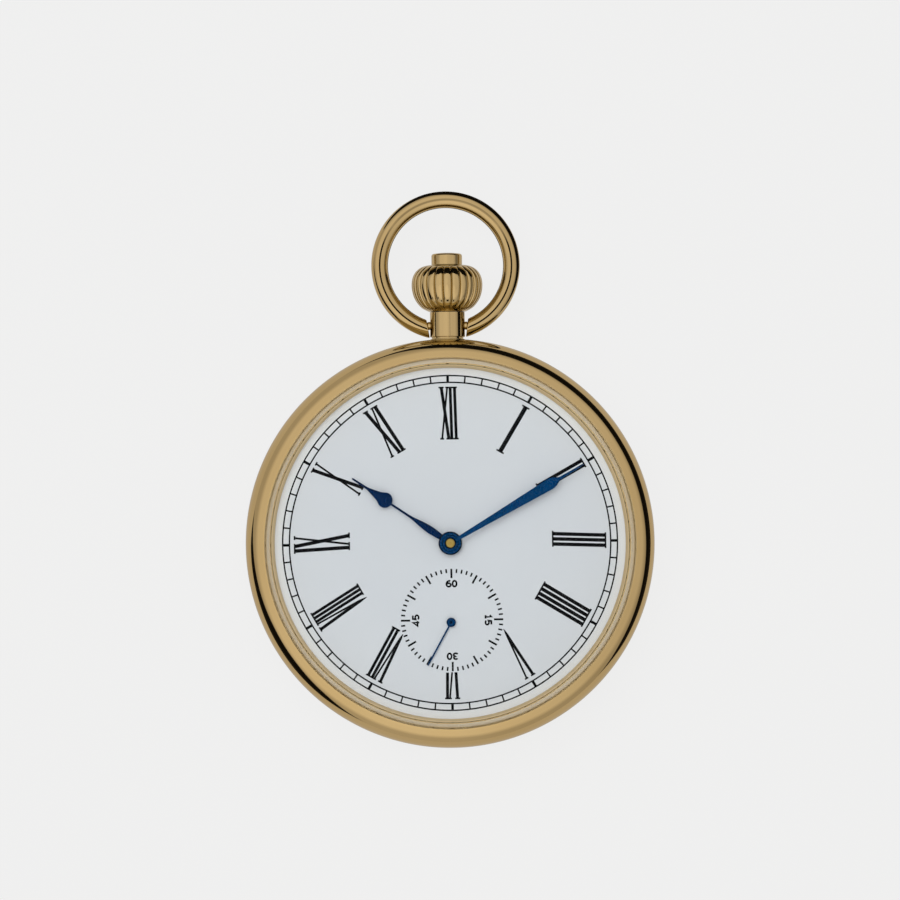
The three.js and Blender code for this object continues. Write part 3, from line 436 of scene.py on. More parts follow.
def dial_material():
    """Pale lacquer, whiter towards the rim: painted light that offsets the shade near the bezel's wall."""
    tree = material_tree("dial_lacquer")
    place = tree.coords()
    cloud = tree.noise(place, scale=70.0, detail=2.0)
    fine = tree.noise(place, scale=3500.0, detail=2.0)
    colour = tree.mix(tree.remap(cloud, (0.35, 0.65)), (0.728, 0.752, 0.800),
                      (0.742, 0.764, 0.806))
    colour = tree.mix(tree.remap(fine, (0.4, 0.6)) * 0.25, colour, (0.70, 0.725, 0.77))
    x, y, _ = tree.separate(place)
    # painted light: the colour whitens towards the rim, against the shade near the bezel's wall
    rim = tree.remap(tree.length(x, y), (19.6 * MM, 21.3 * MM))
    colour = tree.mix(rim, colour, (0.90, 0.90, 0.905))
    return tree.principled(Base_Color=colour, Specular_IOR_Level=0.35,
                           Roughness=tree.remap(fine, (0.3, 0.7), to=(0.38, 0.46)),
                           Coat_Weight=0.12, Coat_Roughness=0.12,
                           Normal=tree.bump(fine, strength=0.06, distance=0.004))


def print_material():
    tree = material_tree("dial_print")
    fine = tree.noise(tree.coords(), scale=5000.0, detail=3.0)
    colour = tree.mix(tree.remap(fine, (0.35, 0.65)), (0.0015, 0.0015, 0.002),
                      (0.004, 0.004, 0.005))
    return tree.principled(Base_Color=colour, Specular_IOR_Level=0.03,
                           Roughness=tree.remap(fine, (0.3, 0.7), to=(0.4, 0.6)),
                           Normal=tree.bump(fine, strength=0.15, distance=0.003))


def blued_material(name, tones):
    tree = material_tree(name)
    place = tree.coords()
    cloud = tree.noise(place, scale=260.0, detail=2.0)
    fine = tree.noise(place, scale=2600.0, detail=3.0)
    grain = tree.noise(tree.coords(scale=(1, 9, 1), rotation=(0, 0, 0.9)),
                       scale=2600.0, detail=2.0)
    return tree.principled(Base_Color=tree.ramp(cloud, list(zip((0.30, 0.55, 0.75), tones))),
                           Metallic=1.0,
                           Roughness=tree.remap(fine, (0.3, 0.7), to=(0.20, 0.30)),
                           Normal=tree.bump(grain, strength=0.08, distance=0.004))


def brass_material(name, light, dark, tarnished):
    tree = material_tree(name)
    place = tree.coords()
    cloud = tree.noise(place, scale=160.0, detail=3.0)
    grain = tree.noise(place, scale=5200.0, detail=3.0)
    brushed = tree.noise(tree.coords(scale=(1, 16, 1), rotation=(0, 0, 0.4)),
                         scale=1800.0, detail=2.0)
    colour = tree.mix(tree.remap(cloud, (0.3, 0.7)), light, dark)
    tarnish = tree.remap(tree.noise(place, scale=420.0, detail=4.0), (0.60, 0.78))
    colour = tree.mix(tarnish * 0.35, colour, tarnished)
    return tree.principled(Base_Color=colour, Metallic=1.0,
                           Roughness=tree.remap(grain, (0.3, 0.7), to=(0.26, 0.42)),
                           Normal=tree.bump(grain + brushed * 0.6, strength=0.15,
                                            distance=0.006))


def striped_material():
    """Nickel plate with straight stripes across the bridges."""
    pitch = 1.6
    slant = (0, 0, math.radians(38))
    tree = material_tree("nickel_stripes")
    across = tree.separate(tree.coords(rotation=slant))[0]
    phase = tree.math("FRACT", across * (1.0 / (pitch * MM)))
    arch = tree.math("POWER", tree.math("ABSOLUTE", phase * 2.0 - 1.0), 1.5)
    lines = tree.noise(tree.coords(scale=(1, 12, 1), rotation=slant), scale=2400.0, detail=2.0)
    cloud = tree.noise(tree.coords(), scale=150.0, detail=2.0)
    colour = tree.mix(arch, (0.74, 0.72, 0.68), (0.60, 0.585, 0.55))
    colour = tree.mix(tree.remap(cloud, (0.4, 0.7)) * 0.2, colour, (0.66, 0.62, 0.55))
    return tree.principled(Base_Color=colour, Metallic=1.0,
                           Roughness=tree.remap(lines, (0.3, 0.7), to=(0.18, 0.34)),
                           Normal=tree.bump(arch * 0.8 + lines * 0.2, strength=0.25,
                                            distance=0.02))


def steel_material():
    tree = material_tree("polished_steel")
    cloud = tree.noise(tree.coords(), scale=300.0, detail=3.0)
    grain = tree.noise(tree.coords(scale=(1, 14, 1), rotation=(0, 0, 0.2)),
                       scale=2600.0, detail=2.0)
    colour = tree.mix(tree.remap(cloud, (0.3, 0.7)), (0.60, 0.61, 0.63), (0.52, 0.53, 0.56))
    return tree.principled(Base_Color=colour, Metallic=1.0,
                           Roughness=tree.remap(grain, (0.3, 0.7), to=(0.16, 0.30)),
                           Normal=tree.bump(grain, strength=0.12, distance=0.005))


def ruby_material():
    tree = material_tree("synthetic_ruby")
    cloud = tree.noise(tree.coords(), scale=900.0, detail=3.0)
    colour = tree.mix(tree.remap(cloud, (0.3, 0.7)), (0.55, 0.008, 0.055), (0.36, 0.004, 0.04))
    return tree.principled(Base_Color=colour, Coat_Weight=0.6, Coat_Roughness=0.05,
                           Roughness=tree.remap(cloud, (0.3, 0.7), to=(0.05, 0.12)),
                           Specular_IOR_Level=0.7)


GOLD = gold_material()
GLASS = glass_material()
DIAL = dial_material()
PRINT = print_material()
BLUED = blued_material(
    "blued_steel", [(0.0015, 0.052, 0.165), (0.0012, 0.064, 0.205), (0.003, 0.050, 0.185)])
# deep blue: the hour hand's own tone, and painted shade on the seconds cap's shoulder
DEEP_BLUED_AND_PAINTED_SHADE = blued_material(
    "deep_blued_steel_and_painted_shade", [(0.002, 0.018, 0.080), (0.0015, 0.026, 0.105), (0.004, 0.020, 0.090)])
# near-black blue: painted shade on the hubs' sunk edges and chamfers
BLUED_PAINTED_SHADE = blued_material(
    "blued_steel_painted_shade",
    [(0.0003, 0.0020, 0.008), (0.0003, 0.0026, 0.010), (0.0004, 0.0020, 0.008)])
# a darker copy of the gold: painted shade on the bezel's inner wall
WALL_PAINTED_SHADE = gold_material("gold_plate_wall_painted_shade", shade=0.76)
CAP = brass_material("turned_cap", light=(0.62, 0.43, 0.115), dark=(0.54, 0.36, 0.09),
                     tarnished=(0.20, 0.12, 0.03))
BRASS = brass_material("gilt_brass", light=(0.80, 0.60, 0.24), dark=(0.70, 0.50, 0.19),
                       tarnished=(0.46, 0.31, 0.13))
BY_SLOT = {"case_gold": GOLD, "crystal": GLASS, "dial_enamel": DIAL, "blued_steel": BLUED,
           "brass": BRASS, "nickel_plate": striped_material(), "steel": steel_material(),
           "ruby": ruby_material()}

# ---------- case: profiles are (radius, z) or (radius, z, corner round) ----------
BACK_CURVE = [(14.0, 0.0), (16.5, 0.075), (18.5, 0.28), (20.4, 0.62), (22.0, 1.06),
              (23.3, 1.6), (24.15, 2.15), (24.62, 2.68)]
BACK_INSIDE = [(24.80, 3.0, 0.25), (24.80, 3.25, 0.10), (23.3, 3.25, 0.05), (23.3, 4.0, 0.12),
               (22.6, 4.0, 0.12), (22.6, 3.0, 0.5), (20.5, 1.6, 1.5), (14.0, 0.8, 4.0),
               (0.0, 0.8)]
BAND_CURVE = [(24.86, 3.42), (24.93, 4.2), (24.985, 5.0), (25.0, 5.9), (24.99, 6.8),
              (24.95, 7.6), (24.90, 8.16)]
BAND_INSIDE = [(24.88, 8.3, 0.08), (23.4, 8.3, 0.05), (23.4, 7.5, 0.05), (22.5, 7.4, 0.05),
               (22.5, 4.2, 0.05), (23.4, 4.1, 0.05), (23.4, 3.3, 0.05), (24.80, 3.3, 0.10)]
BEZEL_INSIDE = [(24.97, 8.36, 0.06), (23.32, 8.36, 0.05), (23.32, 7.6, 0.1), (22.6, 7.6, 0.1),
                (22.2, 8.5, 0.1), (21.42, 8.5, 0.03), (21.45, 8.62, 0.05), (21.69, 9.36),
                (21.93, 10.1, 0.06), (22.505, 10.1, 0.01), (22.505, 10.55, 0.04),
                (22.62, 10.78, 0.05)]
CRYSTAL_TOP = [(0.0, 12.30), (4.0, 12.285), (8.0, 12.22), (12.0, 12.08), (16.0, 11.84),
               (19.5, 11.46), (21.0, 11.20), (22.0, 10.95)]
CRYSTAL_EDGE = [(22.40, 10.74, 0.10), (22.49, 10.45, 0.06), (22.49, 10.14, 0.06), (21.2, 10.14)]
CRYSTAL_UNDER = [(21.2, 10.15), (19.0, 10.40), (16.0, 10.69), (12.0, 10.97), (8.0, 11.16),
                 (4.0, 11.26), (0.0, 11.30)]


def case_back():
    """A shallow polished dish with a flat rest, a rolled edge and a rim inside the band."""
    profile = [(0.0, 0.0), (5.0, 0.0), (10.0, 0.0)] + spline(BACK_CURVE)
    profile += rounded([BACK_CURVE[-1]] + BACK_INSIDE)[1:]
    finish_piece(lathe("case_back_shell", profile), "root", "case_gold", GOLD, "case_back")


def case_band():
    """The barrel-shaped wall, bored for the stem."""
    inside = rounded([BAND_CURVE[-1]] + BAND_INSIDE + [BAND_CURVE[0]])[1:-1]
    band = lathe("case_band_wall", spline(BAND_CURVE, 6) + inside)
    bore = lathe("bore", [(0, 20.0), (1.56, 20.0), (1.56, 27.0), (0, 27.0)], 64, "Y",
                 (0, 0, STEM_Z))
    boolean(band, [bore], "DIFFERENCE")
    finish_piece(band, "root", "case_gold", GOLD, "case_band")


def bezel():
    """A quarter-round ring, with the crystal's seat and the sloping inner wall."""
    round_r = 2.66
    centre_r, centre_z = 22.31, 8.29
    from_deg, to_deg = 8.2, 84.0  # measured from +Z, outwards
    arc = []
    for k in range(41):
        angle = math.radians(from_deg + (to_deg - from_deg) * k / 40)
        arc.append((centre_r + round_r * math.sin(angle), centre_z + round_r * math.cos(angle)))
    inside = rounded(BEZEL_INSIDE + [arc[0]], steps=4)[1:-1]
    ring = lathe("bezel_ring", arc + [(24.965, 8.5), (24.94, 8.36)] + inside, 320)
    finish_piece(ring, "root", "case_gold", GOLD, "bezel")
    # painted shade: the lower part of the sloping inner wall gets the darker gold
    tone(ring, WALL_PAINTED_SHADE, lambda r, z: 21.4 < r < 21.72 and 8.55 < z < 9.5)


def crystal():
    """The domed glass."""
    edge = rounded([CRYSTAL_TOP[-1]] + CRYSTAL_EDGE)[1:-1]
    profile = spline(CRYSTAL_TOP, 6) + edge + spline(CRYSTAL_UNDER, 6)
    finish_piece(lathe("crystal_glass", profile, 320), "root", "crystal", GLASS, "crystal")


# ---------- neck, bow and crown: profiles are (radius, y) ----------
NECK_FOOT = [(0.85, 22.7), (1.5, 22.7), (1.5, 24.9), (2.20, 24.9, 0.03), (2.22, 25.10, 0.05),
             (1.94, 25.13, 0.02), (1.94, 25.30, 0.02), (2.13, 25.34, 0.04)]
NECK_END = [(2.13, 28.35, 0.06), (0.85, 28.35, 0.05)]
# (distance out from the neck's axis, radius, corner round)
PIN = [(1.72, 0.0), (1.72, 0.44, 0.08), (1.98, 0.44, 0.1), (2.08, 0.5, 0.12), (2.40, 0.5, 0.12),
       (2.46, 0.42), (3.3, 0.42), (3.3, 0.0)]
CROWN_UNDER = [(0.0, 33.2), (0.66, 33.2), (0.66, 28.40), (1.5, 28.38), (2.2, 28.40)]
CROWN_CURVE = [(2.36, 28.46), (3.05, 28.84), (3.62, 29.42), (4.07, 30.2), (4.30, 31.1),
               (4.335, 31.9), (4.18, 32.7), (3.80, 33.36), (3.20, 33.84), (2.55, 34.06),
               (2.0, 34.12)]
CROWN_BOSS = [(1.88, 34.16, 0.06), (1.88, 35.48, 0.30), (0.9, 35.6, 1.2), (0.0, 35.615)]
FLUTES = 24


def pendant_tube():
    """The straight neck on a thin collar that follows the band, with a socket each side."""
    shaft_y = 25.5
    collar_blend = 0.35  # length over which the collar's bend dies out
    shaft = [(2.13, shaft_y + 0.12 * k) for k in range(24)]
    pendant = lathe("pendant_neck", rounded(NECK_FOOT + shaft + NECK_END, closed=True, steps=6),
                    128, "Y", (0, 0, STEM_Z))
    for vertex in pendant.data.vertices:
        x, y, z = vertex.co / MM
        if 1.55 < math.hypot(x, z - STEM_Z) and y < shaft_y:
            drop = CASE_R - math.sqrt(CASE_R * CASE_R - x * x)
            vertex.co.y = (y - drop * min(1.0, (shaft_y - y) / collar_blend)) * MM
    sockets = [lathe("socket", [(0, side * 1.6), (0.56, side * 1.6), (0.56, side * 3.0),
                                (0, side * 3.0)], 48, "X", (0, PIVOT_Y, STEM_Z))
               for side in (-1, 1)]
    boolean(pendant, sockets, "DIFFERENCE")
    finish_piece(pendant, "root", "case_gold", GOLD, "pendant_tube")


def bow():
    """Round wire bent into a ring, cut off beside the neck, with a turned pin in each end."""
    wire_r = 1.025
    end_x = 2.38     # where each end stops, sideways from the neck's axis
    end_slant = 0.16
    edge = 0.12      # round on the cut edges
    lean = math.radians(1.2)
    steps, edge_steps, sides = 160, 6, 48

    # sections: (fraction of the way round, x of the cut, wire radius)
    first_end = []
    for k in range(edge_steps + 1):
        angle = math.pi / 2 * k / edge_steps
        first_end.append((0.0, end_x + edge * (1 - math.cos(angle)),
                          wire_r - edge * (1 - math.sin(angle))))
    sections = first_end + [(k / steps, end_x + edge, wire_r) for k in range(1, steps)]
    sections += [(1.0, x, radius) for _, x, radius in reversed(first_end)]
    verts = []
    for t, cut_x, radius in sections:
        for k in range(sides):
            angle = TAU * k / sides
            off = radius * math.cos(angle)
            gap = math.asin((cut_x - end_slant * off / wire_r) / (BOW_R + off))
            turn = -math.pi / 2 + gap + t * (TAU - 2 * gap)
            verts.append(((BOW_R + off) * math.cos(turn), BOW_Y + (BOW_R + off) * math.sin(turn),
                          STEM_Z + radius * math.sin(angle)))
    rows = [list(range(i * sides, (i + 1) * sides)) for i in range(len(sections))]
    faces = []
    for row, after in zip(rows, rows[1:]):
        for k in range(sides):
            m = (k + 1) % sides
            faces.append([row[k], row[m], after[m], after[k]])
    faces.append(rows[0])
    faces.append(rows[-1][::-1])

    # the ring hangs a little to one side in the play of its pins
    cos, sin = math.cos(lean), math.sin(lean)
    verts = [(x * cos - (y - PIVOT_Y) * sin, PIVOT_Y + x * sin + (y - PIVOT_Y) * cos, z)
             for x, y, z in verts]
    ring = mesh_object("bow_ring", verts, faces)
    pins = [lathe("pin", [(radius, side * out) for out, radius in rounded(PIN, steps=4)],
                  48, "X", (0, PIVOT_Y, STEM_Z)) for side in (-1, 1)]
    boolean(ring, pins, "UNION")
    finish_piece(ring, "bow", "case_gold", GOLD, "bow")


def reed(radius, y, angle):
    """The crown's radius with its flutes, which fade out towards both ends."""
    if radius < 1.2:
        return radius
    depth = min(max((y - 28.50) / 0.7, 0.0), 1.0) * min(max((34.06 - y) / 0.35, 0.0), 1.0)
    phase = angle * FLUTES / TAU
    phase = abs(2 * (phase - round(phase)))
    return radius * (1 - depth ** 0.5 * (0.018 * phase * phase + 0.042 * phase ** 7))


def crown():
    """A reeded onion with a plain boss."""
    profile = CROWN_UNDER + spline(CROWN_CURVE, 7)
    profile += rounded([CROWN_CURVE[-1]] + CROWN_BOSS)[1:]
    knob = lathe("crown_knob", profile, FLUTES * 20, "Y", (0, 0, STEM_Z), reed, 50.0)
    finish_piece(knob, "stem", "case_gold", GOLD, "crown")


# ---------- dial ----------
def dial():
    """The dial plate, with a hole for the seconds arbor and two feet below."""
    low = 8.0
    plate = lathe("dial_plate", rounded([(1.0, low), (DIAL_R, low, 0.05), (DIAL_R, DIAL_TOP, 0.08),
                                         (1.0, DIAL_TOP, 0.04)], closed=True, steps=4))
    hole = lathe("hole", [(0, 7.5), (0.35, 7.5), (0.35, 9), (0, 9)], 40, "Z", (*SECONDS, 0))
    feet = [lathe("foot", [(0, 7.0), (0.36, 7.0), (0.4, 7.05), (0.4, 8.1), (0, 8.1)], 32, "Z",
                  (x, y, 0)) for x, y in ((13.5, 8), (-13.5, -8))]
    boolean(plate, [hole], "DIFFERENCE")
    boolean(plate, feet, "UNION")
    finish_piece(plate, "root", "dial_enamel", DIAL, "dial")


INK_LOW, INK_HIGH = DIAL_TOP - 0.004, DIAL_TOP + 0.012
PRINT_TURN = math.radians(0.2)
PRINT_AT = (-0.015, 0.05)  # the print sits a hair off the dial's centre
TRACK_AT = (SECONDS[0] + 0.13, SECONDS[1] + 0.235)  # seconds track, from PRINT_AT
TRACK_R = 6.25

# Numerals, read from the dial's centre. A stroke is (x at ANCHOR_R + ANCHOR_RISE,
# x at ANCHOR_R, width); an hour has its plain strokes, then a V as its two strokes.
ANCHOR_R, ANCHOR_RISE = 13.3, 5.1
NUMERAL_IN, NUMERAL_OUT = 12.62, 19.08
SERIF = 0.20
# radius where an hour's strokes start, if not at NUMERAL_IN
FOOT = {3: 12.44, 4: 12.34, 6: 15.80, 7: 12.27, 8: 12.23, 9: 12.22, 10: 12.48, 11: 12.57}
VEE_TIP = {5: 0.26, 7: 0.10, 8: 0.50}  # how far the V's point reaches inside NUMERAL_IN
NUMERALS = {
    1: ([(0.0, -0.09, 0.535)], None),
    2: ([(-0.41, -0.49, 0.435), (0.21, 0.13, 0.435)], None),
    3: ([(-0.69, -0.91, 0.435), (-0.08, -0.28, 0.435), (0.55, 0.35, 0.435)], None),
    4: ([(-1.025, -1.165, 0.435), (-0.425, -0.545, 0.435), (0.185, 0.075, 0.435),
         (0.795, 0.665, 0.435)], None),
    5: ([], ((-0.43, -0.185, 0.355), (0.39, -0.14, 0.22))),
    6: ([(0.59, 0.53, 0.365)], ((-0.61, -0.345, 0.365), (0.24, -0.25, 0.22))),
    7: ([(0.32, 0.38, 0.365), (0.86, 0.92, 0.365)], ((-0.77, -0.40, 0.355), (-0.03, -0.34, 0.22))),
    8: ([(0.12, 0.25, 0.355), (0.60, 0.75, 0.355), (1.09, 1.24, 0.355)],
        ((-0.91, -0.47, 0.375), (-0.23, -0.37, 0.22))),
    9: ([(-0.69, -0.42, 0.445), (-0.06, 0.90, 0.445), (0.79, 0.17, 0.25)], None),
    10: ([(-0.315, 0.57, 0.425), (0.405, -0.115, 0.23)], None),
    11: ([(-0.595, 0.285, 0.435), (0.155, -0.555, 0.23), (0.665, 0.875, 0.435)], None),
    12: ([(-0.725, -0.035, 0.385), (-0.145, -0.705, 0.23), (0.295, 0.395, 0.365),
          (0.825, 0.935, 0.365)], None),
}


def bend(cx, cy, rx, ry, from_deg, to_deg, steps):
    """Points along part of an ellipse."""
    angles = [math.radians(from_deg + (to_deg - from_deg) * k / steps) for k in range(steps + 1)]
    return [(cx + rx * math.cos(a), cy + ry * math.sin(a)) for a in angles]


# Seconds digits: pen lines as (points, closed), baseline at y = 0, centred on x = 0
DIGIT_HEIGHT = 0.84
DIGIT_STRETCH = 1.22
DIGIT_PITCH = 0.74
DIGIT_PEN = 0.215
DIGITS_OUT = 4.43  # radius of the digits' tops
DIGITS = {
    "0": [(bend(0, DIGIT_HEIGHT / 2, 0.20, DIGIT_HEIGHT / 2 - 0.065, 90, 450, 28)[:-1], True)],
    "1": [([(-0.15, 0.62), (-0.02, 0.70), (0.04, 0.80), (0.04, 0.03)], False),
          ([(-0.13, 0.085), (0.21, 0.085)], False)],
    "3": [(bend(-0.01, 0.60, 0.185, 0.175, 155, -75, 12)
           + bend(-0.01, 0.245, 0.215, 0.185, 75, -155, 14), False)],
    "4": [([(0.09, 0.0), (0.09, 0.78), (-0.24, 0.21), (0.25, 0.21)], False)],
    "5": [([(0.20, 0.775), (-0.15, 0.775), (-0.19, 0.43)]
           + bend(0.0, 0.275, 0.215, 0.21, 125, -150, 14), False)],
    "6": [(bend(0.02, 0.275, 0.205, 0.21, 160, 520, 24)[:-1], True),
          (bend(0.10, 0.36, 0.305, 0.415, 72, 195, 10), False)],
}


def place(points, deg, centre=(0.0, 0.0)):
    """Points drawn upright at 12 (x right, y outwards), turned clockwise from 12."""
    angle = -math.radians(deg) + PRINT_TURN
    cos, sin = math.cos(angle), math.sin(angle)
    return [(PRINT_AT[0] + centre[0] + x * cos - y * sin,
             PRINT_AT[1] + centre[1] + x * sin + y * cos) for x, y in points]


def edges(stroke, radius):
    """The left and right edge of a numeral's stroke at a radius."""
    high, low, width = stroke
    middle = low + (high - low) * (radius - ANCHOR_R) / ANCHOR_RISE
    return middle - width / 2, middle + width / 2


def merged(spans, reach):
    """Spans widened by reach on both sides, joined where they meet."""
    runs = []
    for left, right in sorted(spans):
        left, right = left - reach, right + reach
        if runs and left < runs[-1][1] + 0.02:
            runs[-1][1] = max(right, runs[-1][1])
        else:
            runs.append([left, right])
    return runs


class DialPrint(Solids):
    """The printed marks, a thin film of ink on the dial. Lifts keep overlapping tops apart."""

    def ink(self, points, lift=0.0):
        self.prism(points, INK_LOW, INK_HIGH + lift)

    def bar(self, deg, inner, outer, y0, y1, lift, centre=(0.0, 0.0)):
        """A four-sided mark; inner and outer are its (left, right) edges at y0 and y1."""
        corners = [(inner[0], y0), (inner[1], y0), (outer[1], y1), (outer[0], y1)]
        self.ink(place(corners, deg, centre), lift)

    def tick(self, deg, width, y0, y1, lift, centre=(0.0, 0.0)):
        sides = (-width / 2, width / 2)
        self.bar(deg, sides, sides, y0, y1, lift, centre)

    def vee(self, hour, arms, foot, top):
        deg = 30 * hour
        if hour == 6:  # an open V, cut off at the foot
            for arm in arms:
                (left, right), (low_left, low_right) = edges(arm, top), edges(arm, foot)
                self.ink(place([(left, top), (low_left, foot), (low_right, foot), (right, top)],
                               deg))
            return
        left, left_in = edges(arms[0], top)
        right_in, right = edges(arms[1], top)
        gap_low = edges(arms[1], ANCHOR_R)[0] - edges(arms[0], ANCHOR_R)[1]
        gap_top = right_in - left_in
        join = ANCHOR_R + (top - ANCHOR_R) * (0 - gap_low) / (gap_top - gap_low)
        low, tip = NUMERAL_IN + 0.45, NUMERAL_IN - VEE_TIP[hour]
        low_left, low_right = edges(arms[0], low)[0], edges(arms[1], low)[1]
        middle = (low_left + low_right) / 2
        self.ink(place([(left, top), (low_left, low), (middle - 0.03, tip), (middle + 0.03, tip),
                        (low_right, low), (right, top), (right_in, top),
                        (edges(arms[0], join)[1], join), (left_in, top)], deg))

    def numeral(self, hour):
        strokes, arms = NUMERALS[hour]
        deg = 30 * hour
        foot = FOOT.get(hour, NUMERAL_IN)
        inner, outer = foot + 0.02, NUMERAL_OUT - 0.02
        for i, stroke in enumerate(strokes):
            self.bar(deg, edges(stroke, inner), edges(stroke, outer), inner, outer, 0.0004 * i)
        heads = [edges(stroke, NUMERAL_OUT) for stroke in strokes]
        if arms:
            self.vee(hour, arms, foot, outer)
            heads += [edges(arm, NUMERAL_OUT) for arm in arms]
        serifs = [(heads, NUMERAL_OUT - SERIF, NUMERAL_OUT)]
        if hour != 6:
            serifs.append(([edges(stroke, foot) for stroke in strokes], foot, foot + SERIF))
        for spans, y0, y1 in serifs:
            for run in merged(spans, reach=0.24 if hour == 1 else 0.125):
                self.bar(deg, run, run, y0, y1, 0.003)

    def pen_line(self, points, closed, deg):
        """A line of the digits' pen width through points on the seconds track."""
        count = len(points)
        left, right = [], []
        for i, (x, y) in enumerate(points):
            before = points[(i - 1) % count] if closed or i else points[i]
            after = points[(i + 1) % count] if closed or i < count - 1 else points[i]
            arriving = Vector((x - before[0], y - before[1]))
            leaving = Vector((after[0] - x, after[1] - y))
            if arriving.length < 1e-9:
                arriving = leaving.copy()
            if leaving.length < 1e-9:
                leaving = arriving.copy()
            arriving.normalize()
            leaving.normalize()
            along = (arriving + leaving).normalized()
            half = DIGIT_PEN / 2 / max(0.5, along.dot(arriving))
            left.append((x - along.y * half, y + along.x * half))
            right.append((x + along.y * half, y - along.x * half))
        low_left = len(self.verts)
        low_right = low_left + count
        top_left = low_right + count
        top_right = top_left + count
        outline = place(left + right, deg, TRACK_AT)
        self.verts += [(x, y, z) for z in (INK_LOW, INK_HIGH) for x, y in outline]
        for i in range(count if closed else count - 1):
            j = (i + 1) % count
            self.faces += [
                [low_left + i, low_left + j, low_right + j, low_right + i],
                [top_left + i, top_right + i, top_right + j, top_left + j],
                [low_left + i, top_left + i, top_left + j, low_left + j],
                [low_right + i, low_right + j, top_right + j, top_right + i]]
        if not closed:
            for i in (0, count - 1):
                end = [low_left + i, low_right + i, top_right + i, top_left + i]
                self.faces.append(end if i else end[::-1])

    def digits(self, text, deg):
        for i, char in enumerate(text):
            x0 = (i - (len(text) - 1) / 2) * DIGIT_PITCH
            y0 = DIGITS_OUT - DIGIT_HEIGHT / 2
            for points, closed in DIGITS[char]:
                moved = [(x0 + DIGIT_STRETCH * x, y0 + y) for x, y in points]
                self.pen_line(moved, closed, deg)


def dial_printing():
    """Minute track, hour numerals and seconds track."""
    film = DialPrint()
    for inner, outer in ((20.35, 20.525), (19.525, 19.70)):
        film.ring(PRINT_AT, inner, outer, INK_LOW, INK_HIGH, 360)
    for minute in range(60):
        film.tick(6 * minute, 0.185 if minute % 5 else 0.33, 19.66, 20.40, -0.001)
    for hour in NUMERALS:
        film.numeral(hour)
    for second in range(60):
        width, length = (0.20, 0.50) if second % 5 else (0.235, 1.14)
        film.tick(6 * second, width, TRACK_R - length, TRACK_R, -0.002, TRACK_AT)
    for text, deg in (("60", 0), ("15", 90), ("30", 180), ("45", 270)):
        film.digits(text, deg)
    marks = mesh_object("dial_printing", film.verts, film.faces, 30.0)
    finish_piece(marks, "root", "dial_enamel", PRINT)


# ---------- hands: stations are (distance from the arbor, half width) ----------
HOUR_DEG, MINUTE_DEG, SECOND_DEG = 304.05, 60.0, 208.9  # clockwise from 12
HOUR_LEAF = [(1.5, 0.36), (2.2, 0.425), (2.95, 0.455), (3.9, 0.395), (4.8, 0.28),
             (5.66, 0.165), (7.0, 0.14), (8.3, 0.14)]
HOUR_BULB_AT, HOUR_BULB_R = 9.56, 0.94
HOUR_BULB_FROM, HOUR_BULB_TO = -83, 42  # degrees of the bulb's circle that show
HOUR_POINT = [(10.50, 0.55), (10.95, 0.435), (11.5, 0.295), (12.1, 0.165), (12.5, 0.14),
              (13.4, 0.13), (14.35, 0.105)]
MINUTE_TAPER = [(0.7, 0.215), (1.2, 0.222), (2.5, 0.278), (5.0, 0.355), (8.0, 0.462),
                (11.0, 0.576), (13.2, 0.655)]
MINUTE_SHOULDER = [(13.9, 0.675), (14.35, 0.672), (14.7, 0.59), (15.1, 0.39), (15.45, 0.205)]
MINUTE_POINT = [(15.8, 0.170), (16.8, 0.145), (17.9, 0.115), (18.9, 0.05)]
SECOND_BLADE = [(0.35, 0.110), (1.5, 0.108), (3.0, 0.106), (4.5, 0.105), (5.6, 0.098),
                (6.03, 0.06)]
# cap of the seconds hand and tube of the cannon pinion: (radius, z, corner round)
SECOND_CAP = [(0.0, 8.78), (0.2, 8.78), (0.2, 8.60), (0.57, 8.60, 0.03), (0.57, 8.83, 0.03),
              (0.42, 8.90, 0.05), (0.18, 8.90, 0.02), (0.16, 8.815), (0.0, 8.81)]
CANNON_TUBE = [(0.0, 7.0), (0.49, 7.0), (0.49, 9.97), (0.535, 9.98, 0.02), (0.535, 10.06, 0.05),
               (0.40, 10.10, 0.1), (0.11, 10.10, 0.02), (0.09, 10.04, 0.02), (0.0, 10.03)]
# one leaf of the cannon pinion: (fraction of a leaf pitch, radius)
CANNON_LEAF = [(-0.5, 0.85), (-0.32, 0.86), (-0.2, 1.13), (-0.09, 1.25), (0.09, 1.25),
               (0.2, 1.13), (0.32, 0.86)]
CANNON_LEAVES = 12
# a blade's cross-section: (fraction of the half width, fraction of the thickness)
BLADE_SECTION = [(-1.0, 0.0), (-1.0, 0.45), (-0.86, 0.72), (-0.45, 0.93), (0.0, 1.0),
                 (0.45, 0.93), (0.86, 0.72), (1.0, 0.45), (1.0, 0.0)]


def blade(name, stations, low, high, deg, centre=(0.0, 0.0)):
    """A symmetric blade with a facetted top, drawn along 12 and turned clockwise."""
    angle = -math.radians(deg)
    cos, sin = math.cos(angle), math.sin(angle)
    verts = []
    for y, half_width in stations:
        for across, height in BLADE_SECTION:
            x = across * half_width
            verts.append((centre[0] + x * cos - y * sin, centre[1] + x * sin + y * cos,
                          low + (high - low) * height))
    count = len(BLADE_SECTION)
    rows = [list(range(i * count, (i + 1) * count)) for i in range(len(stations))]
    faces = []
    for row, after in zip(rows, rows[1:]):
        for i in range(count - 1):
            faces.append([row[i], row[i + 1], after[i + 1], after[i]])
        faces.append([row[-1], row[0], after[0], after[-1]])
    faces.append(rows[0][::-1])
    faces.append(rows[-1])
    return mesh_object(name, verts, faces, 50.0)


def hub(radius, bore, low, high):
    """A flat collar with a chamfered rim and a sunk edge round its bore."""
    profile = [(bore, low, 0.02), (radius, low, 0.03), (radius, high - 0.07, 0.03),
               (radius - 0.16, high, 0.06), (bore + 0.17, high, 0.01),
               (bore + 0.14, high - 0.03, 0.01), (bore, high - 0.03)]
    return lathe("hub", rounded(profile, closed=True, steps=4), 96)


